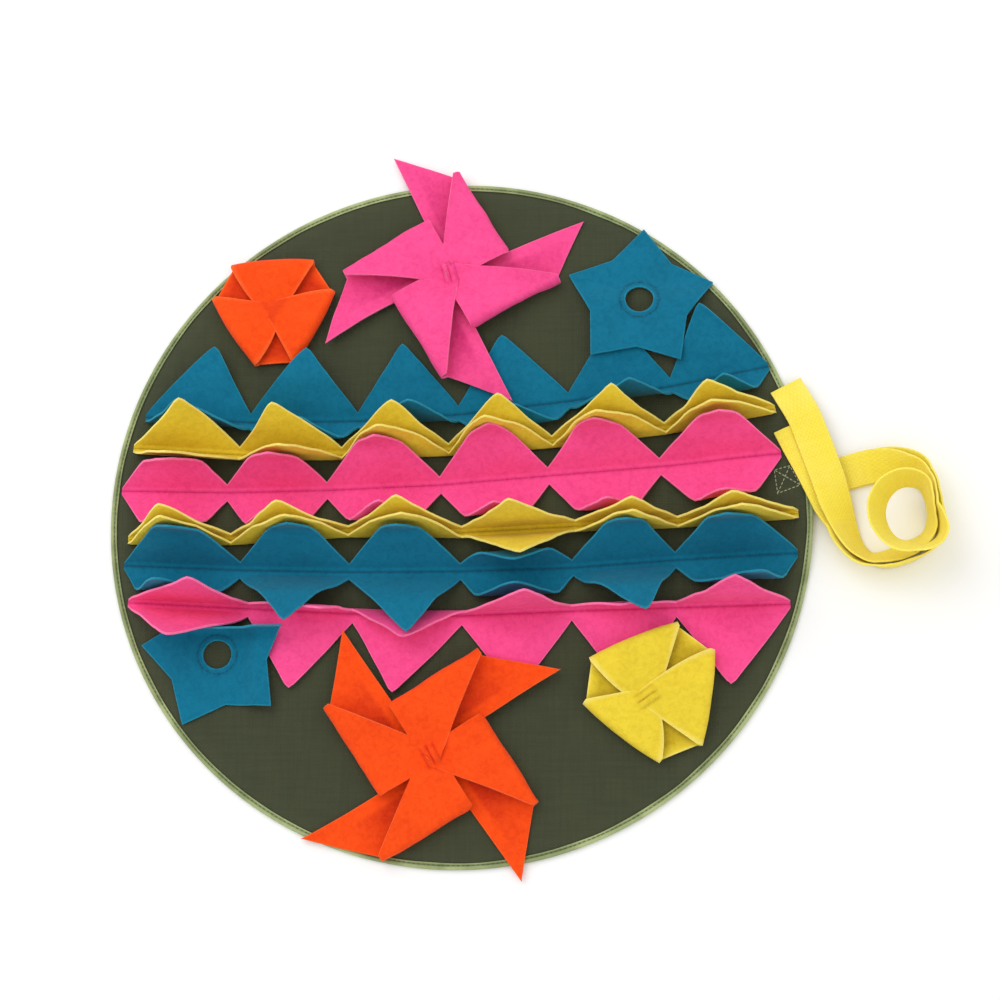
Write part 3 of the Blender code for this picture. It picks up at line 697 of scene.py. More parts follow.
@dataclass
class Base:
    """The canvas disc and the tape that binds its rim.

    Attributes:
        steps: the steps round the disc.
        ring: the width of a ring of the disc's faces.
        pucker: how far the canvas puckers beside the binding.
        stitch_inset: from the rim to the binding's row of stitches.
        stitch_pitch: from one of those stitches to the next.
    """

    steps: int = 240
    ring: float = 9.0
    pucker: float = 0.22
    stitch_inset: float = 2.9
    stitch_pitch: float = 3.4

    def build(self) -> list[bpy.types.Object]:
        """Makes the disc, the tape and the tape's stitches."""
        return [self.make_disc(), *self.make_binding()]

    def make_disc(self) -> bpy.types.Object:
        """The canvas disc, pressed thinner at its rim, with shallow waves on its face."""
        inner = RIM_INNER
        count = round((inner - 1) / self.ring)
        rings = [(inner - 1) * k / count for k in range(1, count + 1)]
        profile = [(0.0, 0.0), *((r, 0.0) for r in rings), (inner + 1, RIM_LOW), (RIM_AT, RIM_LOW),
                   (RIM_AT, RIM_HIGH), (inner + 1, RIM_HIGH), *((r, BASE_THICK) for r in reversed(rings)),
                   (0.0, BASE_THICK)]
        bm = bmesh.new()
        rims = bm.verts.layers.float.new("rim")
        turn_profile(bm, profile, self.steps)
        for vert in bm.verts:
            x, y = vert.co.x / MM, vert.co.y / MM
            radius = math.hypot(x, y)
            vert[rims] = smooth(radius, inner - 5, inner)
            if vert.co.z > 0.9 * BASE_THICK * MM:
                wave = noise.noise(Vector((x, y, 0.0)) / 34.0) * 0.28
                beside = smooth(radius, inner - 16, inner - 3)
                wave += beside * self.pucker * math.sin(math.atan2(y, x) * 46.0 + 2.0 * wave)
                vert.co.z += wave * smooth(radius, inner, inner - 3) * MM
            vert.co.z += disc_rise(x, y) * MM
        disc = to_object("canvas_disc", bm, CANVAS)
        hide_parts("base_cloth")
        return disc

    def make_binding(self) -> list[bpy.types.Object]:
        """The tape folded round the rim, and its row of stitches."""
        inner, outer = RIM_INNER, BASE_RADIUS
        under = RIM_HIGH + GAP
        top = under + TAPE_THICK
        inside = RIM_AT + GAP
        groove = outer - self.stitch_inset
        profile = [(inner + 1.6, 0.25), (inner + 1.9, 0.0), (inner + 4, 0.0), (outer - 1.6, 0.0),
                   (outer - 0.5, 0.25), (outer, 0.9), (outer, top - 0.9), (outer - 0.4, top - 0.2),
                   (outer - 1.1, top + 0.15), (outer - 1.9, top + 0.1), (groove + 0.5, top - 0.1),
                   (groove, top - 0.35), (groove - 0.5, top - 0.1), (inner + 1.9, top),
                   (inner + 1.5, top - 0.15), (inner + 1.5, under), (inside, under), (inside, TAPE_THICK),
                   (inner + 1.6, TAPE_THICK)]
        bm = bmesh.new()
        rims = bm.verts.layers.float.new("rim")
        turn_profile(bm, profile, 2 * self.steps)
        cloth = bm.loops.layers.uv.new("cloth")
        for face in bm.faces:
            middle = face.calc_center_median()
            about = math.atan2(middle.y, middle.x)
            for loop in face.loops:
                at = loop.vert.co
                angle = about + math.remainder(math.atan2(at.y, at.x) - about, math.tau)
                loop[cloth].uv = (angle * BASE_RADIUS * MM, math.hypot(at.x, at.y) + at.z)
        for vert in bm.verts:
            x, y = vert.co.x / MM, vert.co.y / MM
            radius = math.hypot(x, y)
            angle = math.atan2(y, x)
            # The rim mark is 1 everywhere but the stitch groove, so the tape is painted lighter on its rolls
            # and painted darker in the groove.
            vert[rims] = smooth(abs(radius - groove), 0.3, 0.9)
            if radius < inner + 3:
                wander = 0.45 * noise.noise(Vector((math.cos(angle), math.sin(angle), 0.0)) * 9.0)
                vert.co.xy *= 1.0 + wander / radius
            if vert.co.z > (top - 0.5) * MM:
                vert.co.z += 0.08 * math.cos(angle * math.tau * BASE_RADIUS / self.stitch_pitch) * MM
            vert.co.z += disc_rise(x, y) * MM
        tape = to_object("binding_tape", bm, TAPE)
        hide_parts("edge_binding")
        circle = [direction(1.5 * k) * groove for k in range(241)]
        path = [Vector((c.x, c.y, top - 0.02 + disc_rise(c.x, c.y))) for c in circle]
        stitches = Stitching("binding_stitches", TAPE_THREAD, self.stitch_pitch, 2.6, 0.26).build([path])
        return [tape, stitches]


@dataclass
class Sewn:
    """A felt piece sewn to the mat: a base for the others.

    Attributes:
        name: the piece's name.
        node: the solid that it stands for.
        felt: its finish.
    """

    name: str
    node: str
    felt: FeltFinish

    def sew(self, cloth: Cloth, stitching: Stitching, paths: Sequence[Sequence[Vector]],
            **sheet: object) -> list[bpy.types.Object]:
        """Makes the piece and its stitches.

        Args:
            cloth: the piece's cloth.
            stitching: the kind of its stitches.
            paths: where those lie.
            **sheet: its flat size and how it is held; not used.

        Returns:
            The piece and its stitches.
        """
        piece = cloth.make()
        stitches = stitching.build(paths)
        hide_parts(self.node)
        return [piece, stitches]


@dataclass
class Placed(Sewn):
    """A felt piece set out round its own middle: a base for the others.

    Attributes:
        x: the middle.
        y: the middle.
        first: the direction of its first tip or long side.
    """

    x: float
    y: float
    first: float

    def tack(self, lift: tuple[float, float] | None, layers: float, arms: Sequence[Vector],
             meet: Sequence[float] = (0.0, 0.0)) -> list[list[Vector]]:
        """The lines of stitches over the folded layers at its middle.

        Args:
            lift: the line where it starts to rise on to the felt below, and where it has risen.
            layers: how much higher the uppermost layer lies than the first.
            arms: the half of each line.
            meet: where the layers meet, from the middle.

        Returns:
            Each line's two ends.
        """
        top = lifted(self.y, lift) + FOLDED_ON + FELT_THICK / 2 + layers + 0.1
        x, y = self.x + meet[0], self.y + meet[1]
        return [[on_mat(x + way * arm.x, y + way * arm.y, top) for way in (-1, 1)] for arm in arms]


@dataclass(frozen=True)
class Flap:
    """How a flap stands: 0 lies outwards on the mat, 90 stands up, more leans back over its own seam.

    Attributes:
        first: the angle at which it leaves the mat.
        last: the angle of its tip.
        turn: how far out it turns from one to the other.
        reach: its cut length.
        twist: how much steeper it stands at its left end than at its middle, and how much flatter at its right.
    """

    first: float
    last: float
    turn: float = 30.0
    reach: float = FULL_REACH
    twist: float = 0.0


@dataclass(frozen=True)
class Diamond:
    """A diamond of a ruffle: its left neck, the sideways shifts of its two tips, and its two flaps."""

    x: float
    y: float
    up_shift: float
    down_shift: float
    up: Flap
    down: Flap


@dataclass
class Ruffle(Sewn):
    """A felt strip of six diamonds, sewn down along its middle so that its two rows of flaps stand.

    Attributes:
        diamonds: the diamonds from left to right.
        end: the strip's right end.
        neck: the half height of the strip between two diamonds.
        tail: the half height at its two ends.
        columns: the cells along a diamond.
        rows: the cells from the curved root to the cut edge.
        near: the distances from the seam of the rows over the root.
        turn_length: over what length a flap turns from its first angle to its last.
        pinch: how deep the stitches pull the seam.
        blunt: how rounded the tips of the diamonds are.
        wander: how far the cut edge strays from a straight line.
    """

    diamonds: tuple[Diamond, ...]
    end: tuple[float, float]
    neck: float = 6.5
    tail: float = 2.5
    columns: int = 24
    rows: int = 14
    near: tuple[float, ...] = (0.0, 0.6, 1.3, 2.2, 3.2, 4.1, 5.0)
    turn_length: float = 12.0
    pinch: float = 0.45
    blunt: float = 0.05
    wander: float = 1.4

    def __post_init__(self) -> None:
        """Works out the necks that the diamonds hang between."""
        self.necks = [Vector((d.x, d.y)) for d in self.diamonds] + [Vector(self.end)]
        self.steps = len(self.near) - 1 + self.rows

    def flap(self, index: int, side: Side) -> Flap:
        """One flap of a diamond."""
        diamond = self.diamonds[index]
        return diamond.up if side is Side.UP else diamond.down

    def blend(self, place: float, side: Side) -> list[tuple[float, Flap, float]]:
        """The flaps that shape a place along the strip, with their shares and how far along each it is."""
        index = min(int(place), len(self.diamonds) - 1)
        within = place - index
        pairs = [(1.0, index)]
        if within < 0.25 and index > 0:
            share = smooth(within, -0.25, 0.25)
            pairs = [(share, index), (1.0 - share, index - 1)]
        elif within > 0.75 and index < len(self.diamonds) - 1:
            share = smooth(within, 0.75, 1.25)
            pairs = [(1.0 - share, index), (share, index + 1)]
        return [(share, self.flap(k, side), min(1.0, max(0.0, place - k))) for share, k in pairs]

    def angle(self, flap: Flap, distance: float, within: float) -> float:
        """The angle of a flap at a distance from its seam and a share of the way along it, in radians."""
        root = smooth(distance, 1.0, 5.0)
        turned = smooth(distance, flap.turn - self.turn_length / 2, flap.turn + self.turn_length / 2)
        return math.radians(mix(flap.first, flap.last, turned) + flap.twist * (1.0 - 2.0 * within)) * root

    def profile(self, blend: Sequence[tuple[float, Flap, float]], distance: float,
                steps: int = 24) -> tuple[float, float]:
        """How far out and how high a blend of flaps has come at a distance from the seam."""
        out = up = 0.0
        for step in range(steps):
            middle = distance * (step + 0.5) / steps
            angle = sum(share * self.angle(flap, middle, within) for share, flap, within in blend)
            out += math.cos(angle) * distance / steps
            up += math.sin(angle) * distance / steps
        return out, up

    def half_height(self, place: float, side: Side) -> float:
        """The cut half height of the strip at a place."""
        last = len(self.diamonds) - 1
        index = min(int(place), last)
        first_half = place - index < 0.5
        at_end = (index == 0 and first_half) or (index == last and not first_half)
        from_tip = math.hypot(2.0 * (place - index) - 1.0, self.blunt)
        rise = (1.0 - from_tip) / (1.0 - self.blunt)
        wander = self.wander * noise.noise(Vector((7.0 * place, 31.0 * side.value, self.necks[0].y)))
        return mix(self.tail if at_end else self.neck, self.flap(index, side).reach, rise) + wander * rise

    def spot(self, place: float, step: int) -> Spot:
        """The spot a number of steps from the seam, up the mat if positive, at a place along the strip."""
        side = Side.UP if step > 0 else Side.DOWN
        index = min(int(place), len(self.diamonds) - 1)
        start, end = self.necks[index], self.necks[index + 1]
        seam = start.lerp(end, place - index)
        along = (end - start).normalized()
        outwards = Vector((-along.y, along.x)) * side.value
        half = self.half_height(place, side)
        count = abs(step)
        inner = len(self.near) - 1
        root = self.near[-1] * min(1.0, half / self.neck)
        edge = max(half - 1.3, mix(root, half, 0.5))
        if count <= inner:
            distance = self.near[count] * min(1.0, half / self.neck)
        elif count < self.steps:
            distance = mix(root, edge, (count - inner) / (self.rows - 1))
        else:
            distance = half
        out, up = self.profile(self.blend(place, side), distance)
        diamond = self.diamonds[index]
        shift = (diamond.up_shift if side is Side.UP else diamond.down_shift) * distance / FULL_REACH
        shift *= 1.0 - abs(2.0 * (place - index) - 1.0) ** 2
        where = seam + outwards * out + along * shift
        sunk = self.pinch * math.exp(-(distance / 1.1) ** 2)
        return Spot(
            on_mat(where.x, where.y, FELT_REST + up - sunk),
            rim=1.0 if count == self.steps else 0.0,
            # Painted shade along the sewn seam, fading within a few millimetres of it.
            crease_shade=math.exp(-(distance / 1.3) ** 2),
            loose=smooth(distance, 6.0, 20.0),
            cut=(place * DIAMOND_LENGTH, distance * side.value),
        )

    def flat_area(self) -> float:
        """The area of the cut strip, in square millimetres."""
        cells = DIAMOND_SAMPLES * len(self.diamonds)
        length = (self.necks[-1] - self.necks[0]).length / cells
        places = [(k + 0.5) / DIAMOND_SAMPLES for k in range(cells)]
        return sum(length * self.half_height(p, side) for p in places for side in Side)

    def seam(self) -> list[Vector]:
        """The sewn line on top of the strip."""
        points = []
        for k in range(DIAMOND_SAMPLES * len(self.diamonds) + 1):
            index = min(k // DIAMOND_SAMPLES, len(self.diamonds) - 1)
            at = self.necks[index].lerp(self.necks[index + 1], k / DIAMOND_SAMPLES - index)
            points.append(on_mat(at.x, at.y, FELT_REST - self.pinch + FELT_THICK / 2 + 0.12))
        return points

    def build(self) -> list[bpy.types.Object]:
        """Makes the strip and its row of stitches."""
        cloth = Cloth(self.name, self.felt, wave=1.5)
        columns = self.columns * len(self.diamonds)
        cloth.add_patch(columns, 2 * self.steps, lambda i, j: self.spot(i / self.columns, j - self.steps))
        stitching = Stitching(self.name + "_stitches", THREADS[self.felt], 3.0, 2.6, 0.24)
        flat = ((self.necks[-1] - self.necks[0]).length * MM, 2 * FULL_REACH * MM)
        return self.sew(cloth, stitching, [self.seam()], flat=flat, held="gathered",
                        area=self.flat_area() * MM * MM)


RUFFLES = (
    (TEAL, (
        (-229, 79, 8, -10, (10, 6), (92, 108, 25, 44)),
        (-152, 74, 2, 0, (27, 2, 32), (6, 116, 14, 40)),
        (-74, 74, -2, 4, (3, 3), (94, 108, 22, 40)),
        (-1, 78, -3, 0, (3, 3), (6, 116, 14, 38)),
        (78, 87, 4, 8, (3, 3), (86, 104, 25, 42)),
        (151, 97, -4, 0, (12, 20, 30, 55, -8), (12, 112, 15, 40)),
    ), (220, 111)),
    (YELLOW, (
        (-237, 56, 0, -4, (66, 60, 30, 54, 16), (79, 80)),
        (-159, 50, -8, 0, (67, 60, 30, 55, 7), (90, 86)),
        (-85, 49, 2, -8, (68, 57), (112, 92)),
        (-8, 51, 2, -8, (68, 56), (115, 93)),
        (66, 56, 5, -8, (72, 61), (109, 93)),
        (146, 65, -8, -8, (79, 71, 30, 53), (101, 90, 30, 53)),
    ), (224, 79)),
    (PINK, (
        (-244, 24, 0, 0, (53, 102, 27), (18, 95, 25)),
        (-167, 22, 0, 0, (56, 98, 32), (18, 101, 26)),
        (-95, 23, -2, 0, (45, 92, 38), (17, 102, 25)),
        (-14, 26, 0, 0, (43, 87, 39), (17, 95, 27)),
        (63, 32, -4, 0, (45, 92, 38), (16, 92, 29)),
        (142, 38, 0, 0, (53, 91, 38), (18, 90, 30)),
    ), (227, 45.5)),
    (YELLOW, (
        (-238, -12, -6, -4, (84, 71, 28), (106, 92, 30)),
        (-163, -13, -2, 4, (86, 71, 28), (106, 90, 26)),
        (-79, -8, -2, 2, (83, 74, 28), (104, 91, 26)),
        (2, -9, -4, 2, (89, 78, 28), (68, 60, 24, 53)),
        (82, -5, 4, 4, (90, 82, 28), (94, 89, 24)),
        (154, -3, -6, 0, (91, 83, 28), (94, 89, 25)),
    ), (238, 2)),
    (TEAL, (
        (-240, -31, -3, -10, (56, 95, 36, 58), (6, 92, 17)),
        (-156, -35, 0, -1, (50, 95, 38, 57), (54, 30, 30)),
        (-78, -37, -2, 4, (50, 95, 38), (42, 16, 30)),
        (1, -37, 0, 0, (62, 120, 20, 42), (6, 94, 18)),
        (80, -35, 4, 12, (52, 96, 37), (54, 32, 30)),
        (152, -30, -7, 10, (55, 95, 36), (20, 88, 18)),
    ), (237, -26)),
    (PINK, (
        (-236, -58, 8, -4, (86, 80), (60, 60)),
        (-149, -63, 28, -4, (94, 108, 18, 33), (3, 3)),
        (-75, -67, 0, -8, (130, 150, 20, 34), (2, 2)),
        (2, -69, 8, -2, (90, 84), (2, 2)),
        (79, -66, 0, 0, (92, 112, 14, 22), (2, 2)),
        (152, -64, 0, -4, (86, 76), (3, 3)),
    ), (231, -62)),
)


def ruffles() -> Iterator[Ruffle]:
    """The six ruffles of the table, which gives each one's felt, its diamonds and its right end."""
    for number, (felt, rows, end) in enumerate(RUFFLES, start=1):
        diamonds = tuple(Diamond(*row[:4], Flap(*row[4]), Flap(*row[5])) for row in rows)
        yield Ruffle(f"ruffle_{number}", f"felt_row_{number}", felt, diamonds, end)


def lifted(y: float, lift: tuple[float, float] | None) -> float:
    """The height of a felt piece's middle, raised past a line where it lies on the felt below it."""
    return FELT_REST if lift is None else mix(FELT_REST, OVER_FELT, smooth(y, *lift))


def tuck(offset: Vector, angle: float) -> tuple[float, float]:
    """The cloth pinched up by a tack: a pair of short ridges.

    Args:
        offset: the point, from the middle of the tack.
        angle: the direction in which the ridges run.

    Returns:
        The height of the cloth there, and the painted shade between its ridges and along their feet.
    """
    along, across = offset.dot(direction(angle)), offset.dot(direction(angle + 90))
    length = smooth(abs(along), 9.5, 5.5)
    height = TUCK_HEIGHT * length * math.exp(-((abs(across) - TUCK_RIDGE) / TUCK_RIDGE_WIDTH) ** 2)
    foot = 0.8 * math.exp(-((abs(across) - TUCK_FOOT) / TUCK_LINE_WIDTH) ** 2)
    return height, min(1.0, length * (math.exp(-(across / TUCK_LINE_WIDTH) ** 2) + foot))


@dataclass
class Pinwheel(Placed):
    """A felt square cut in from its corners, with every other corner folded to the middle and tacked.

    Attributes:
        half_diagonal: from the middle to a tip.
        turn: which way the corners are folded round.
        folds: how far a fold starts from its blade's middle line, at the cut and at its outer end.
        pulls: how far each tip is pulled askew along X and Y.
        lift: the line where it starts to rise on to the felt below, and where it has risen.
        pinched: the direction of the tuck at its middle.
        hub: the half width of the uncut middle.
        curl: the radius of a fold.
        slit: half the width of a cut.
        end: how far from the middle a folded corner ends, below 0 where it passes the middle.
        tip: how wide it is there.
        lap: how far a folded corner lies over the next blade.
        bulges: how far a folded corner bulges up, at the cut and at its free edge.
        stack: how much higher each folded corner lies at the middle than the one before.
        columns: the cells along a blade.
    """

    half_diagonal: float
    turn: Turn
    folds: tuple[float, float]
    pulls: tuple[tuple[float, float], ...]
    lift: tuple[float, float]
    pinched: float
    hub: float = 8.0
    curl: float = 4.4
    slit: float = 0.4
    end: float = -6.5
    tip: float = 6.0
    lap: float = 4.0
    bulges: tuple[float, float] = (1.0, 5.0)
    stack: float = 1.7
    columns: int = 24

    def __post_init__(self) -> None:
        """Sets out the rows and columns of a blade."""
        size = self.half_diagonal
        inside = [0.0, 1.2, 0.5 * self.hub, self.hub]
        self.rows = [(Zone.HUB, away) for away in inside]
        self.rows += [(Zone.FLAT, k / 10) for k in range(1, 10)]
        self.rows += [(Zone.FOLD, k / 12) for k in range(13)]
        self.rows += [(Zone.BACK, k / 18) for k in range(1, 12)]
        self.rows += [(Zone.BACK, mix(11 / 18, 1.0, k / 18)) for k in range(1, 19)]
        outside = [mix(self.hub / size, 1.0 - 1.2 / size, k / self.columns) for k in range(1, self.columns + 1)]
        self.column_at = [*(away / size for away in inside), *outside, 1.0]

    def folded(self, share: float, zone: Zone, part: float, order: int) -> tuple[float, float, float]:
        """Where a grid point lands.

        Args:
            share: how far along its blade it is.
            zone: the part of the blade that it is in.
            part: how far through that part it is, or its distance from the middle line in the hub.
            order: how many folded corners lie below this one at the middle.

        Returns:
            The distances along the blade and away from its middle line, and the height.
        """
        fold = mix(*self.folds, share)
        if zone in (Zone.HUB, Zone.FLAT):
            away = part if zone is Zone.HUB else mix(self.hub, fold, part)
            return share * (self.half_diagonal - away), away, 0.0
        along = share * (self.half_diagonal - fold)
        if zone is Zone.FOLD:
            turned = math.pi * part
            height = self.curl * (1.0 - math.cos(turned))
            return along - self.overhang(share, height), fold + self.curl * math.sin(turned), height
        height = mix(2 * self.curl, FOLDED_ON, part ** 2)
        bulge = mix(*self.bulges, share * share) * math.sin(math.pi * part)
        bulge += self.stack * order * smooth(part, 0.7, 0.92)
        along = mix(along, (share - 0.5) * self.tip, part) - self.overhang(share, height)
        return along, mix(fold, self.end, part), height + bulge

    def overhang(self, share: float, height: float) -> float:
        """How far a folded corner lies over the next blade at a height."""
        return self.lap * (1.0 - share) ** 2 * smooth(height, 3.4, 7.5)

    def pulled(self, blade: int, column: float, reach: float) -> Vector:
        """How far a point is pulled askew, between the pulls of the two tips that it lies between."""
        along, across = max(0.0, column), max(0.0, reach)
        share = across / max(along + across, 1e-6)
        own = Vector(self.pulls[blade]) * (max(0.0, along - self.hub) / self.half_diagonal) ** 2
        next_pull = Vector(self.pulls[(blade + self.turn.value) % 4])
        return own.lerp(next_pull * (max(0.0, across - self.hub) / self.half_diagonal) ** 2, share)

    def spot(self, blade: int, i: int, j: int) -> Spot:
        """The spot of a blade's grid point."""
        tip = self.first + 90 * blade
        zone, part = self.rows[j]
        share = self.column_at[i]
        column, reach, height = self.folded(share, zone, part, blade)
        pull = self.pulled(blade, column, reach)
        cut = (column, j * 3.0)
        on_slit = False
        if i == 0 and zone is not Zone.HUB:
            column += self.slit
            on_slit = True
        if j == 0 and share * self.half_diagonal > self.hub + 0.01:
            reach = self.slit
            on_slit = True
        where = pull + column * direction(tip) + reach * direction(tip + 90 * self.turn.value)
        where += Vector((self.x, self.y))
        edge = on_slit or i == len(self.column_at) - 1 or j == len(self.rows) - 1
        middle = math.hypot(column, reach)
        # Painted shade on the flat blade, darkest near the middle where its folded corner covers it.
        inside = 0.9 * smooth(middle, 95.0, 30.0) if zone is Zone.FLAT else 0.0
        raised, shade = (0.0, 0.0)
        # The tuck's ridges are raised, with painted shade between them and along their feet.
        if zone is Zone.BACK:
            raised, shade = tuck(where - Vector((self.x, self.y)), self.pinched)
        return Spot(
            on_mat(where.x, where.y, lifted(where.y, self.lift) + height + raised),
            rim=1.0 if edge else 0.0,
            crease_shade=max(inside, shade),
            loose=smooth(middle, 10.0, 30.0),
            cut=cut,
        )

    def build(self) -> list[bpy.types.Object]:
        """Makes the folded square and the stitches at its middle."""
        cloth = Cloth(self.name, self.felt, wave=1.1, span=26.0, rounding=0.0)
        for blade in range(4):
            cloth.add_patch(len(self.column_at) - 1, len(self.rows) - 1,
                            lambda i, j, blade=blade: self.spot(blade, i, j))
        stitching = Stitching(self.name + "_tack", THREADS[self.felt], 4.2, 4.6, 0.45)
        paths = self.tack(self.lift, 3 * self.stack, [direction(self.pinched) * 6.0])
        side = self.half_diagonal * math.sqrt(2.0) * MM
        return self.sew(cloth, stitching, paths, flat=(side, side), held="folded")


@dataclass
class Pocket(Placed):
    """A six-sided felt blank with three flaps folded over its long sides and tacked at the middle.

    Attributes:
        size: a share of the lengths below.
        meet: where the flaps meet, from the middle.
        lift: the line where it starts to rise on to the felt below, and where it has risen.
        pinched: the direction of the tuck where the flaps meet, if they are pinched up there.
        side_at: from the middle to a long side.
        half_side: half the length of a long side.
        curl: the radius of a fold.
        bowl: how far the short sides bow up.
        end: how far from their meeting point the flaps end, below 0 where they pass it.
        stack: how much higher each flap lies there than the one before.
        arc_steps: the cells round a fold.
        back_steps: the cells from a fold to the end of its flap.
        blank: the blank's width, as a share of side_at and half_side together.
        blank_share: how much of a square of that width the blank fills.
    """

    size: float
    meet: tuple[float, float]
    lift: tuple[float, float] | None
    pinched: float | None = None
    side_at: float = 33.0
    half_side: float = 32.0
    curl: float = 4.8
    bowl: float = 1.5
    end: float = -6.0
    stack: float = 1.7
    arc_steps: int = 10
    back_steps: int = 30
    blank: float = 2.37
    blank_share: float = 0.493

    def __post_init__(self) -> None:
        """Sets out the directions of the columns and the shares of the rows."""
        self.corner = math.atan2(self.half_side, self.side_at)
        third = math.pi / 3
        inner = [mix(-self.corner, self.corner, k / 20) for k in range(21)]
        outer = [mix(self.corner, third, share) for share in (0.3, 0.65, 1.0)]
        self.columns = [-angle for angle in reversed(outer)] + inner + outer
        self.rise = math.cos(third - self.corner) * math.hypot(self.side_at, self.half_side)
        self.rows = [k / 12 for k in range(12)] + [1.0 - 1.2 / self.side_at, 1.0]

    def settle(self, side: int, across: float, out: float, height: float, met: float = 0.0) -> Vector:
        """A point of one third of the pocket, set down on what lies below it."""
        turn = math.radians(self.first + 120 * side)
        x = self.x + self.size * (out * math.cos(turn) - across * math.sin(turn)) + met * self.meet[0]
        y = self.y + self.size * (out * math.sin(turn) + across * math.cos(turn)) + met * self.meet[1]
        return on_mat(x, y, lifted(y, self.lift) + height)

    def lifted_edge(self, angle: float) -> float:
        """How far the blank bows up towards a short side."""
        return self.bowl * smooth(abs(angle), self.corner / 2, math.pi / 3)

    def bottom(self, side: int, i: int, j: int) -> Spot:
        """The bottom layer, bowed up at the short sides."""
        angle = self.columns[i]
        at_short = abs(angle) > self.corner + 1e-6
        radius = self.rise / math.cos(math.pi / 3 - abs(angle)) if at_short else self.side_at / math.cos(angle)
        share = self.rows[j]
        reach = share * radius
        across, out = reach * math.sin(angle), reach * math.cos(angle)
        edge = at_short and j == len(self.rows) - 1
        at = self.settle(side, across, out, self.lifted_edge(angle) * share ** 2)
        # Painted shade over the bottom layer, which shows only through the openings, fading out towards the
        # short sides' edges.
        return Spot(at, rim=1.0 if edge else 0.0, crease_shade=0.8 * smooth(share, 1.0, 0.8),
                    loose=smooth(reach, 8, 20) * 0.5, cut=(across, out))

    def flap(self, side: int, i: int, j: int) -> Spot:
        """The flap over a long side: an arc, then back to near the middle."""
        angle = self.columns[i + 3]
        across = self.side_at * math.tan(angle)
        lift = self.lifted_edge(angle)
        edge = i in (0, 20)
        curl = self.curl * mix(1.0, 0.6, (abs(angle) / self.corner) ** 3)
        if j <= self.arc_steps:
            turned = math.pi * j / self.arc_steps
            out = self.side_at + curl * math.sin(turned)
            at = self.settle(side, across, out, curl * (1 - math.cos(turned)) + lift)
            return Spot(at, rim=1.0 if edge and j > 0 else 0.0, loose=0.5, cut=(across, self.side_at))
        share = (j - self.arc_steps) / self.back_steps
        narrowed = mix(1.0, 0.1, share)
        if angle > 0.0:
            narrowed += 0.09 * math.sin(math.pi * share) * angle / self.corner
        out = mix(self.side_at, self.end, share)
        height = mix(2 * curl, FOLDED_ON, share ** 2) + lift * narrowed
        height += self.stack * side * smooth(share, 0.5, 0.85)
        at = self.settle(side, across * narrowed, out, height, share)
        # Painted shade where the flaps meet; where they are pinched, the tuck's painted shade instead.
        crease_shade = 0.5 * smooth(out, 8, 3)
        if self.pinched is not None:
            offset = at.xy - SEWN_ORIGIN - Vector((self.x, self.y)) - Vector(self.meet)
            raised, crease_shade = tuck(offset, self.pinched)
            at.z += raised
        edge = edge or j == self.arc_steps + self.back_steps
        return Spot(at, rim=1.0 if edge else 0.0, crease_shade=crease_shade, loose=smooth(out, 6, 20) * 0.8,
                    cut=(across * narrowed, 2 * self.side_at - out))

    def build(self) -> list[bpy.types.Object]:
        """Makes the folded blank and the stitches at its middle."""
        cloth = Cloth(self.name, self.felt, wave=0.7, span=24.0)
        for side in range(3):
            cloth.add_patch(len(self.columns) - 1, len(self.rows) - 1,
                            lambda i, j, side=side: self.bottom(side, i, j))
            cloth.add_patch(20, self.arc_steps + self.back_steps, lambda i, j, side=side: self.flap(side, i, j))
        stitching = Stitching(self.name + "_tack", THREADS[self.felt], 4.0, 4.4, 0.45)
        angles = (self.first + 35, self.first + 110) if self.pinched is None else (self.pinched,)
        paths = self.tack(self.lift, 2 * self.stack, [direction(angle) * 4.0 for angle in angles], self.meet)
        across = self.blank * (self.side_at + self.half_side) * self.size * MM
        return self.sew(cloth, stitching, paths, flat=(across, across), held="folded",
                        area=self.blank_share * across ** 2)


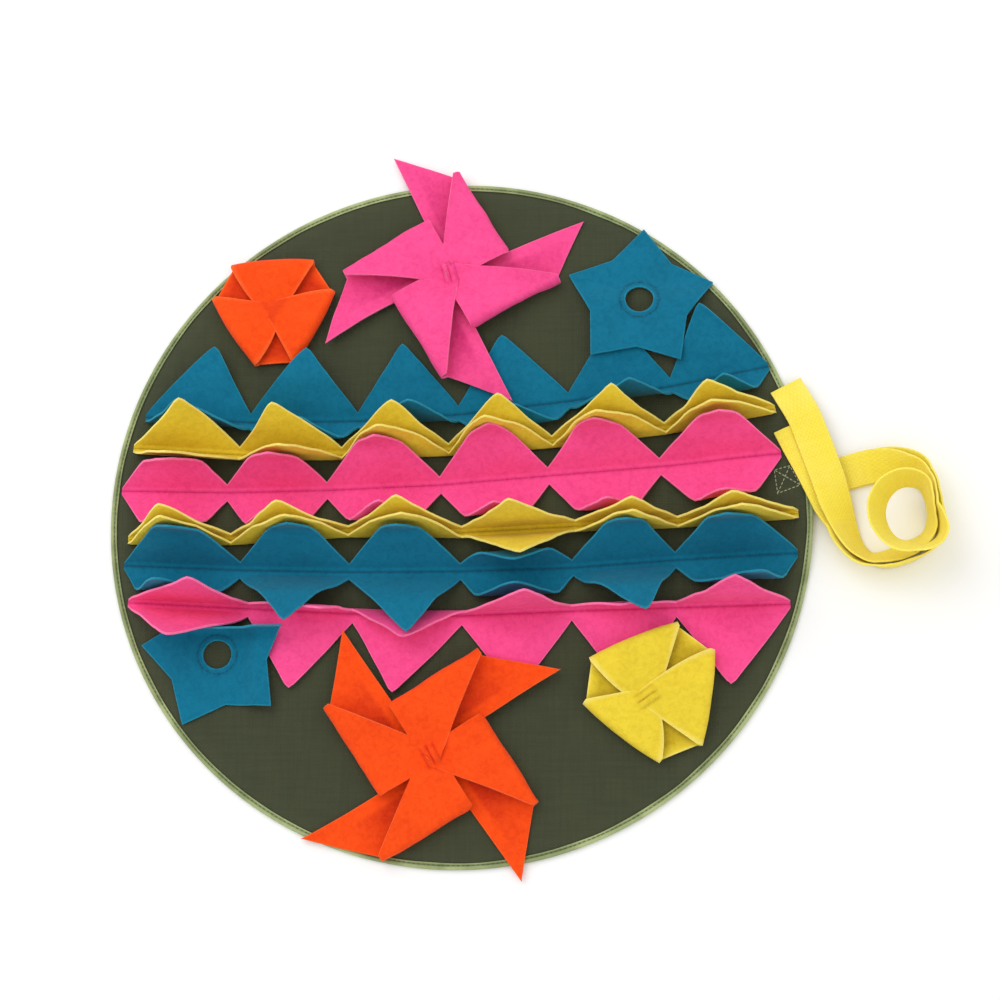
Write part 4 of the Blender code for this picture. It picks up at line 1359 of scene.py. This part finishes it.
@dataclass
class Star(Placed):
    """A five-pointed felt star with a round hole and a ring of stitches round it.

    Attributes:
        second_reach: the reach of the second tip.
        climb: the two values between which it rises on to the felt below.
        climbs_along_x: True where those values are of x, and not of y.
        curl_from: the line past which it turns up, if any.
        curl: the radius of that turn.
        curl_turn: how far it turns, in radians.
        tip: the reach of a tip.
        notch: the reach of a notch.
        hole: the hole's radius.
        ring: the radius of the ring of stitches.
        per_point: the cells round one point.
    """

    second_reach: float
    climb: tuple[float, float]
    climbs_along_x: bool = False
    curl_from: float | None = None
    curl: float = 5.0
    curl_turn: float = math.radians(100)
    tip: float = 55.0
    notch: float = 36.5
    hole: float = 10.0
    ring: float = 14.0
    per_point: int = 24

    def settle(self, x: float, y: float, above: float = 0.0) -> Vector:
        """Where a point of the flat star comes to lie."""
        rest = mix(FELT_REST, OVER_FELT, smooth(x if self.climbs_along_x else y, *self.climb)) + above
        if self.curl_from is None or y <= self.curl_from:
            return on_mat(x, y, rest)
        beyond = y - self.curl_from
        turned = min(beyond / self.curl, self.curl_turn)
        straight = beyond - turned * self.curl
        y = self.curl_from + self.curl * math.sin(turned) + straight * math.cos(turned)
        height = self.curl * (1.0 - math.cos(turned)) + straight * math.sin(turned)
        return on_mat(x, y, rest + height)

    def spot(self, i: int, share_out: float) -> Spot:
        """The spot on a spoke of the star, a share of the way from the hole to the cut edge."""
        share = i % self.per_point / self.per_point
        point = i // self.per_point
        tip_at = (point if share <= 0.5 else point + 1) % 5
        reach = self.second_reach if tip_at == 1 else self.tip
        tip = reach * direction(self.first + 72 * tip_at)
        notch = self.notch * direction(self.first + 72 * point + 36)
        edge = tip.lerp(notch, 1.0 - abs(2.0 * share - 1.0))
        hole = self.hole * direction(self.first + 360.0 * i / (5 * self.per_point))
        spot = hole.lerp(edge, share_out)
        middle = spot.length
        sewn = math.exp(-((middle - self.ring) / 1.1) ** 2)
        at = self.settle(self.x + spot.x, self.y + spot.y, -0.25 * sewn)
        # Painted shade along the ring of stitches.
        return Spot(at, rim=1.0 if share_out in (0.0, 1.0) else 0.0, crease_shade=0.7 * sewn,
                    loose=smooth(middle, 16, 34), cut=(spot.x, spot.y))

    def build(self) -> list[bpy.types.Object]:
        """Makes the star and its ring of stitches."""
        shares = [0.0, 0.04, *(mix(0.08, 0.96, k / 13) for k in range(14)), 1.0]
        cloth = Cloth(self.name, self.felt, wave=0.7, span=24.0)
        cloth.add_patch(5 * self.per_point, len(shares) - 1, lambda i, j: self.spot(i, shares[j]))
        ring = [self.ring * direction(7.5 * k) for k in range(49)]
        path = [self.settle(self.x + p.x, self.y + p.y, FELT_THICK / 2 - 0.12) for p in ring]
        stitching = Stitching(self.name + "_stitches", THREADS[self.felt], 3.1, 2.5, 0.3)
        flat = 1.85 * self.tip * MM
        area = 5 * self.tip * self.notch * math.sin(math.radians(36)) * MM * MM
        return self.sew(cloth, stitching, [path], flat=(flat, flat), held="laid", area=area)


@dataclass(frozen=True)
class Station:
    """A station of a strap: its inner edge on the plan, the height of that edge, and its bank."""

    x: float
    y: float
    z: float
    bank: float


@dataclass
class Strap:
    """A webbing strap, from its root under the mat's edge round a loose curl to its free end.

    Attributes:
        name: the piece's name.
        node: the solid that it stands for.
        rows: the values of each station, from root to end.
        width: the webbing's width.
        thick: the webbing's thickness.
        step: the length of a cell.
        across: the cells across it.
    """

    name: str
    node: str
    rows: InitVar[Sequence[tuple[float, ...]]]
    width: float = 24.0
    thick: float = 1.4
    step: float = 1.8
    across: int = 8

    def __post_init__(self, rows: Sequence[tuple[float, ...]]) -> None:
        """Sets out the stations."""
        self.stations = [Station(*row) for row in rows]

    def middle(self, place: float) -> Vector:
        """The inner edge of the strap on the plan."""
        return Vector([spline([getattr(s, axis) for s in self.stations], place) for axis in "xy"])

    def length(self) -> float:
        """The length of its inner edge."""
        ends = [Vector((s.x, s.y, s.z)) for s in self.stations]
        return sum((end - start).length for start, end in zip(ends, ends[1:]))

    def spot(self, share: float, j: int) -> Spot:
        """A spot a share of the way along, j cells from the inner edge."""
        last = len(self.stations) - 1
        place = last * share
        at = self.middle(place)
        ahead = self.middle(min(place + 0.05, last)) - self.middle(max(place - 0.05, 0.0))
        outwards = Vector((-ahead.y, ahead.x)).normalized()
        bank = math.radians(along_line([s.bank for s in self.stations], place))
        width = self.width * j / self.across
        height = width * math.sin(bank) + along_line([s.z for s in self.stations], place)
        where = at + SEWN_ORIGIN + outwards * width * math.cos(bank)
        return Spot(Vector((where.x, where.y, height)), rim=1.0 if j in (0, self.across) else 0.0,
                    cut=(width, share * self.length()))

    def build(self) -> list[bpy.types.Object]:
        """Makes the strap."""
        steps = round(self.length() / self.step)
        cloth = Cloth(self.name, WEBBING, thick=self.thick, wave=0.0, rounding=0.3)
        cloth.add_patch(steps, self.across, lambda i, j: self.spot(i / steps, j))
        strap = cloth.make()
        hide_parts(self.node)
        self.length() * MM
        return [strap]


STRAPS = (
    ("long_strap", "strap_upper", (
        (216, 15, 2.7, 0), (246, 16, 2.7, 0), (272, 20, 2.8, 0), (290.8, 24.6, 3.1, 8),
        (312.2, 26.3, 3.1, 53), (322.6, 21.6, 3.2, 72), (327.9, 12.1, 5.5, 82), (329.8, 3.5, 8, 86),
        (332, -5.4, 12, 83), (331.6, -17.2, 18, 78), (323.3, -24.7, 26, 72), (312.1, -23, 25.5, 62),
        (303, -19.5, 24, 58), (297.6, -10, 22, 54), (296.8, 0.8, 20, 54), (301.1, 11.4, 18, 60),
        (310, 18.5, 15, 70), (320.7, 18, 12, 78), (325.6, 10.8, 8.5, 84), (327.4, 3.5, 5, 86),
        (327.3, -3.2, 2.4, 83), (325.2, -10.1, 1.4, 75), (319.6, -14.6, 1, 65), (312.3, -17.3, 1, 56),
        (302.7, -22, 1, 58), (291.1, -25.4, 1, 64), (285.4, -22.5, 1.2, 58), (281, -15, 2, 48),
        (278, -3, 3.6, 34), (275, 12, 6.8, 16), (271, 28, 10.4, 4), (266, 44, 10.8, 0), (260, 62, 10.2, 0),
        (254, 79, 8.6, 0), (242, 102, 5.6, 0),
    )),
    ("short_strap", "strap_lower", (
        (216, 15, 0.8, 0), (246, 16, 0.8, 0), (272, 20, 0.8, 0), (290.8, 24.6, 0.8, 1), (313, 28.9, 0.8, 45),
        (323.9, 24, 1, 70), (330, 13.3, 1, 80), (331.9, 3.5, 1, 81), (333.7, -6.1, 1, 82),
        (331.7, -17.3, 1, 81), (323.9, -26.6, 1, 82), (311.7, -32.8, 1, 85), (297.9, -35.6, 1, 83),
        (286.2, -31.8, 1, 72), (279.5, -26, 1, 62), (275.5, -15, 1.2, 48), (274.5, -3, 2.2, 32),
        (271, 12, 5.2, 10), (264, 29, 8.5, 1), (257, 44, 8.6, 0), (250, 58, 8.2, 0), (244, 71, 7.2, 0),
    )),
)


@dataclass
class StitchedBox:
    """The box stitch that holds the strap roots under the mat's edge.

    Attributes:
        corners: the box's corners on the plan.
        sunk: how far the thread sits in the canvas.
    """

    corners: tuple[tuple[float, float], ...] = ((222, 34), (233, 37), (240, 23), (224, 17))
    sunk: float = 0.1

    def point(self, x: float, y: float) -> Vector:
        """A point of the thread on the canvas."""
        return on_mat(x, y, BASE_THICK - self.sunk + 0.3)

    def build(self) -> list[bpy.types.Object]:
        """Makes the box and its cross."""
        ends = [self.point(x, y) for x, y in self.corners]
        box = [*ends, ends[0]]
        runs = [box, [ends[0], ends[2]], [ends[1], ends[3]]]
        return [Stitching("root_box_stitches", PALE_THREAD, 3.0, 2.6, 0.4).build(runs)]


@dataclass
class Studio:
    """The floor, the soft lights and the camera.

    Attributes:
        elevation: the camera's height above the horizon.
        bearing: the plan direction in which it stands.
        roll: how far it is rolled.
        distance: from the mat's middle.
        lens: its focal length.
        shift: how far its frame is shifted.
    """

    elevation: float = 75.6
    bearing: float = -72.0
    roll: float = -18.0
    distance: float = 1.6
    lens: float = 80.93
    shift: tuple[float, float] = (0.042, 0.016)

    def build(self) -> None:
        """Sets out the floor, the lights and the camera."""
        self.make_floor()
        self.make_world()
        self.make_light("window", (-0.9, 0.8, 1.7), 1.7, 15.0)
        self.make_light("fill", (1.1, -1.0, 1.5), 1.6, 4.0)
        self.make_camera()
        bpy.context.scene.view_settings.view_transform = "Standard"

    def make_floor(self) -> None:
        """A plain pale floor."""
        bm = bmesh.new()
        bmesh.ops.create_grid(bm, x_segments=1, y_segments=1, size=3.0)
        material = bpy.data.materials.new("pale_floor")
        material.use_nodes = True
        shader = material.node_tree.nodes["Principled BSDF"]
        shader.inputs["Base Color"].default_value = (0.94, 0.94, 0.94, 1.0)
        shader.inputs["Roughness"].default_value = 0.9
        shader.inputs["Specular IOR Level"].default_value = 0.1
        add_mesh("floor", bm, material)

    def make_world(self) -> None:
        """An even, pale surround."""
        world = bpy.data.worlds.new("studio")
        world.use_nodes = True
        background = world.node_tree.nodes["Background"]
        background.inputs["Color"].default_value = (1.0, 1.0, 1.0, 1.0)
        background.inputs["Strength"].default_value = 0.86
        bpy.context.scene.world = world

    def make_light(self, name: str, at: Sequence[float], size: float, power: float) -> None:
        """A square soft light that looks at the mat."""
        light = bpy.data.lights.new(name, "AREA")
        light.size = size
        light.energy = power
        lamp = add_object(name, light)
        lamp.location = at
        lamp.rotation_euler = Vector(at).to_track_quat("Z", "Y").to_euler()

    def make_camera(self) -> None:
        """The camera, looking down at the mat's middle."""
        flat = direction(self.bearing) * math.cos(math.radians(self.elevation))
        back = Vector((flat.x, flat.y, math.sin(math.radians(self.elevation))))
        right = Vector((0, 0, 1)).cross(back).normalized()
        up = back.cross(right)
        turned = Matrix((right, up, back)).transposed() @ Matrix.Rotation(math.radians(self.roll), 3, "Z")
        camera = bpy.data.cameras.new("camera")
        camera.lens = self.lens
        camera.sensor_width = 36.0
        camera.shift_x, camera.shift_y = self.shift
        holder = add_object("camera", camera)
        holder.matrix_world = Matrix.Translation(back * self.distance) @ turned.to_4x4()
        bpy.context.scene.camera = holder


def main() -> None:
    """Builds the studio and every piece of the mat, and reports each one."""
    logging.basicConfig(level=logging.INFO, format="%(message)s")
    Studio().build()
    builders = (
        Base(),
        *ruffles(),
        Pinwheel("pink_pinwheel", "pinwheel_pink", PINK, -8.4, 183, 115, 103, Turn.CLOCKWISE, (40.6, 34.0),
                 ((0, 0), (4, -10), (3.5, -4), (4.5, -3)), (176, 148), 105),
        Pinwheel("orange_pinwheel", "pinwheel_orange", ORANGE, -18, -168, 126, 106, Turn.ANTICLOCKWISE,
                 (40.0, 37.0), ((-1, 4), (-5, 7), (0, 0), (5, -3)), (-166, -136), 118),
        Pocket("orange_pocket", "pocket_orange", ORANGE, -137, 160, 93, 0.95, (0, -3), None),
        Pocket("yellow_pocket", "pocket_yellow", YELLOW, 136, -123, 112, 1.03, (-4.7, -5.3), (-150, -112), 33),
        Star("upper_star", "star_teal_upper", TEAL, 128.6, 162, 14, 55, (178, 158)),
        Star("lower_star", "star_teal_lower", TEAL, -170.5, -95.6, 29, 38, (-154, -140), climbs_along_x=True,
             curl_from=-82.0),
        *(Strap(*values) for values in STRAPS),
        StitchedBox(),
    )
    for builder in builders:
        for piece in builder.build():
            LOG.info("%s: %d faces before modifiers", piece.name, len(piece.data.polygons))


if __name__ == "__main__":
    main()
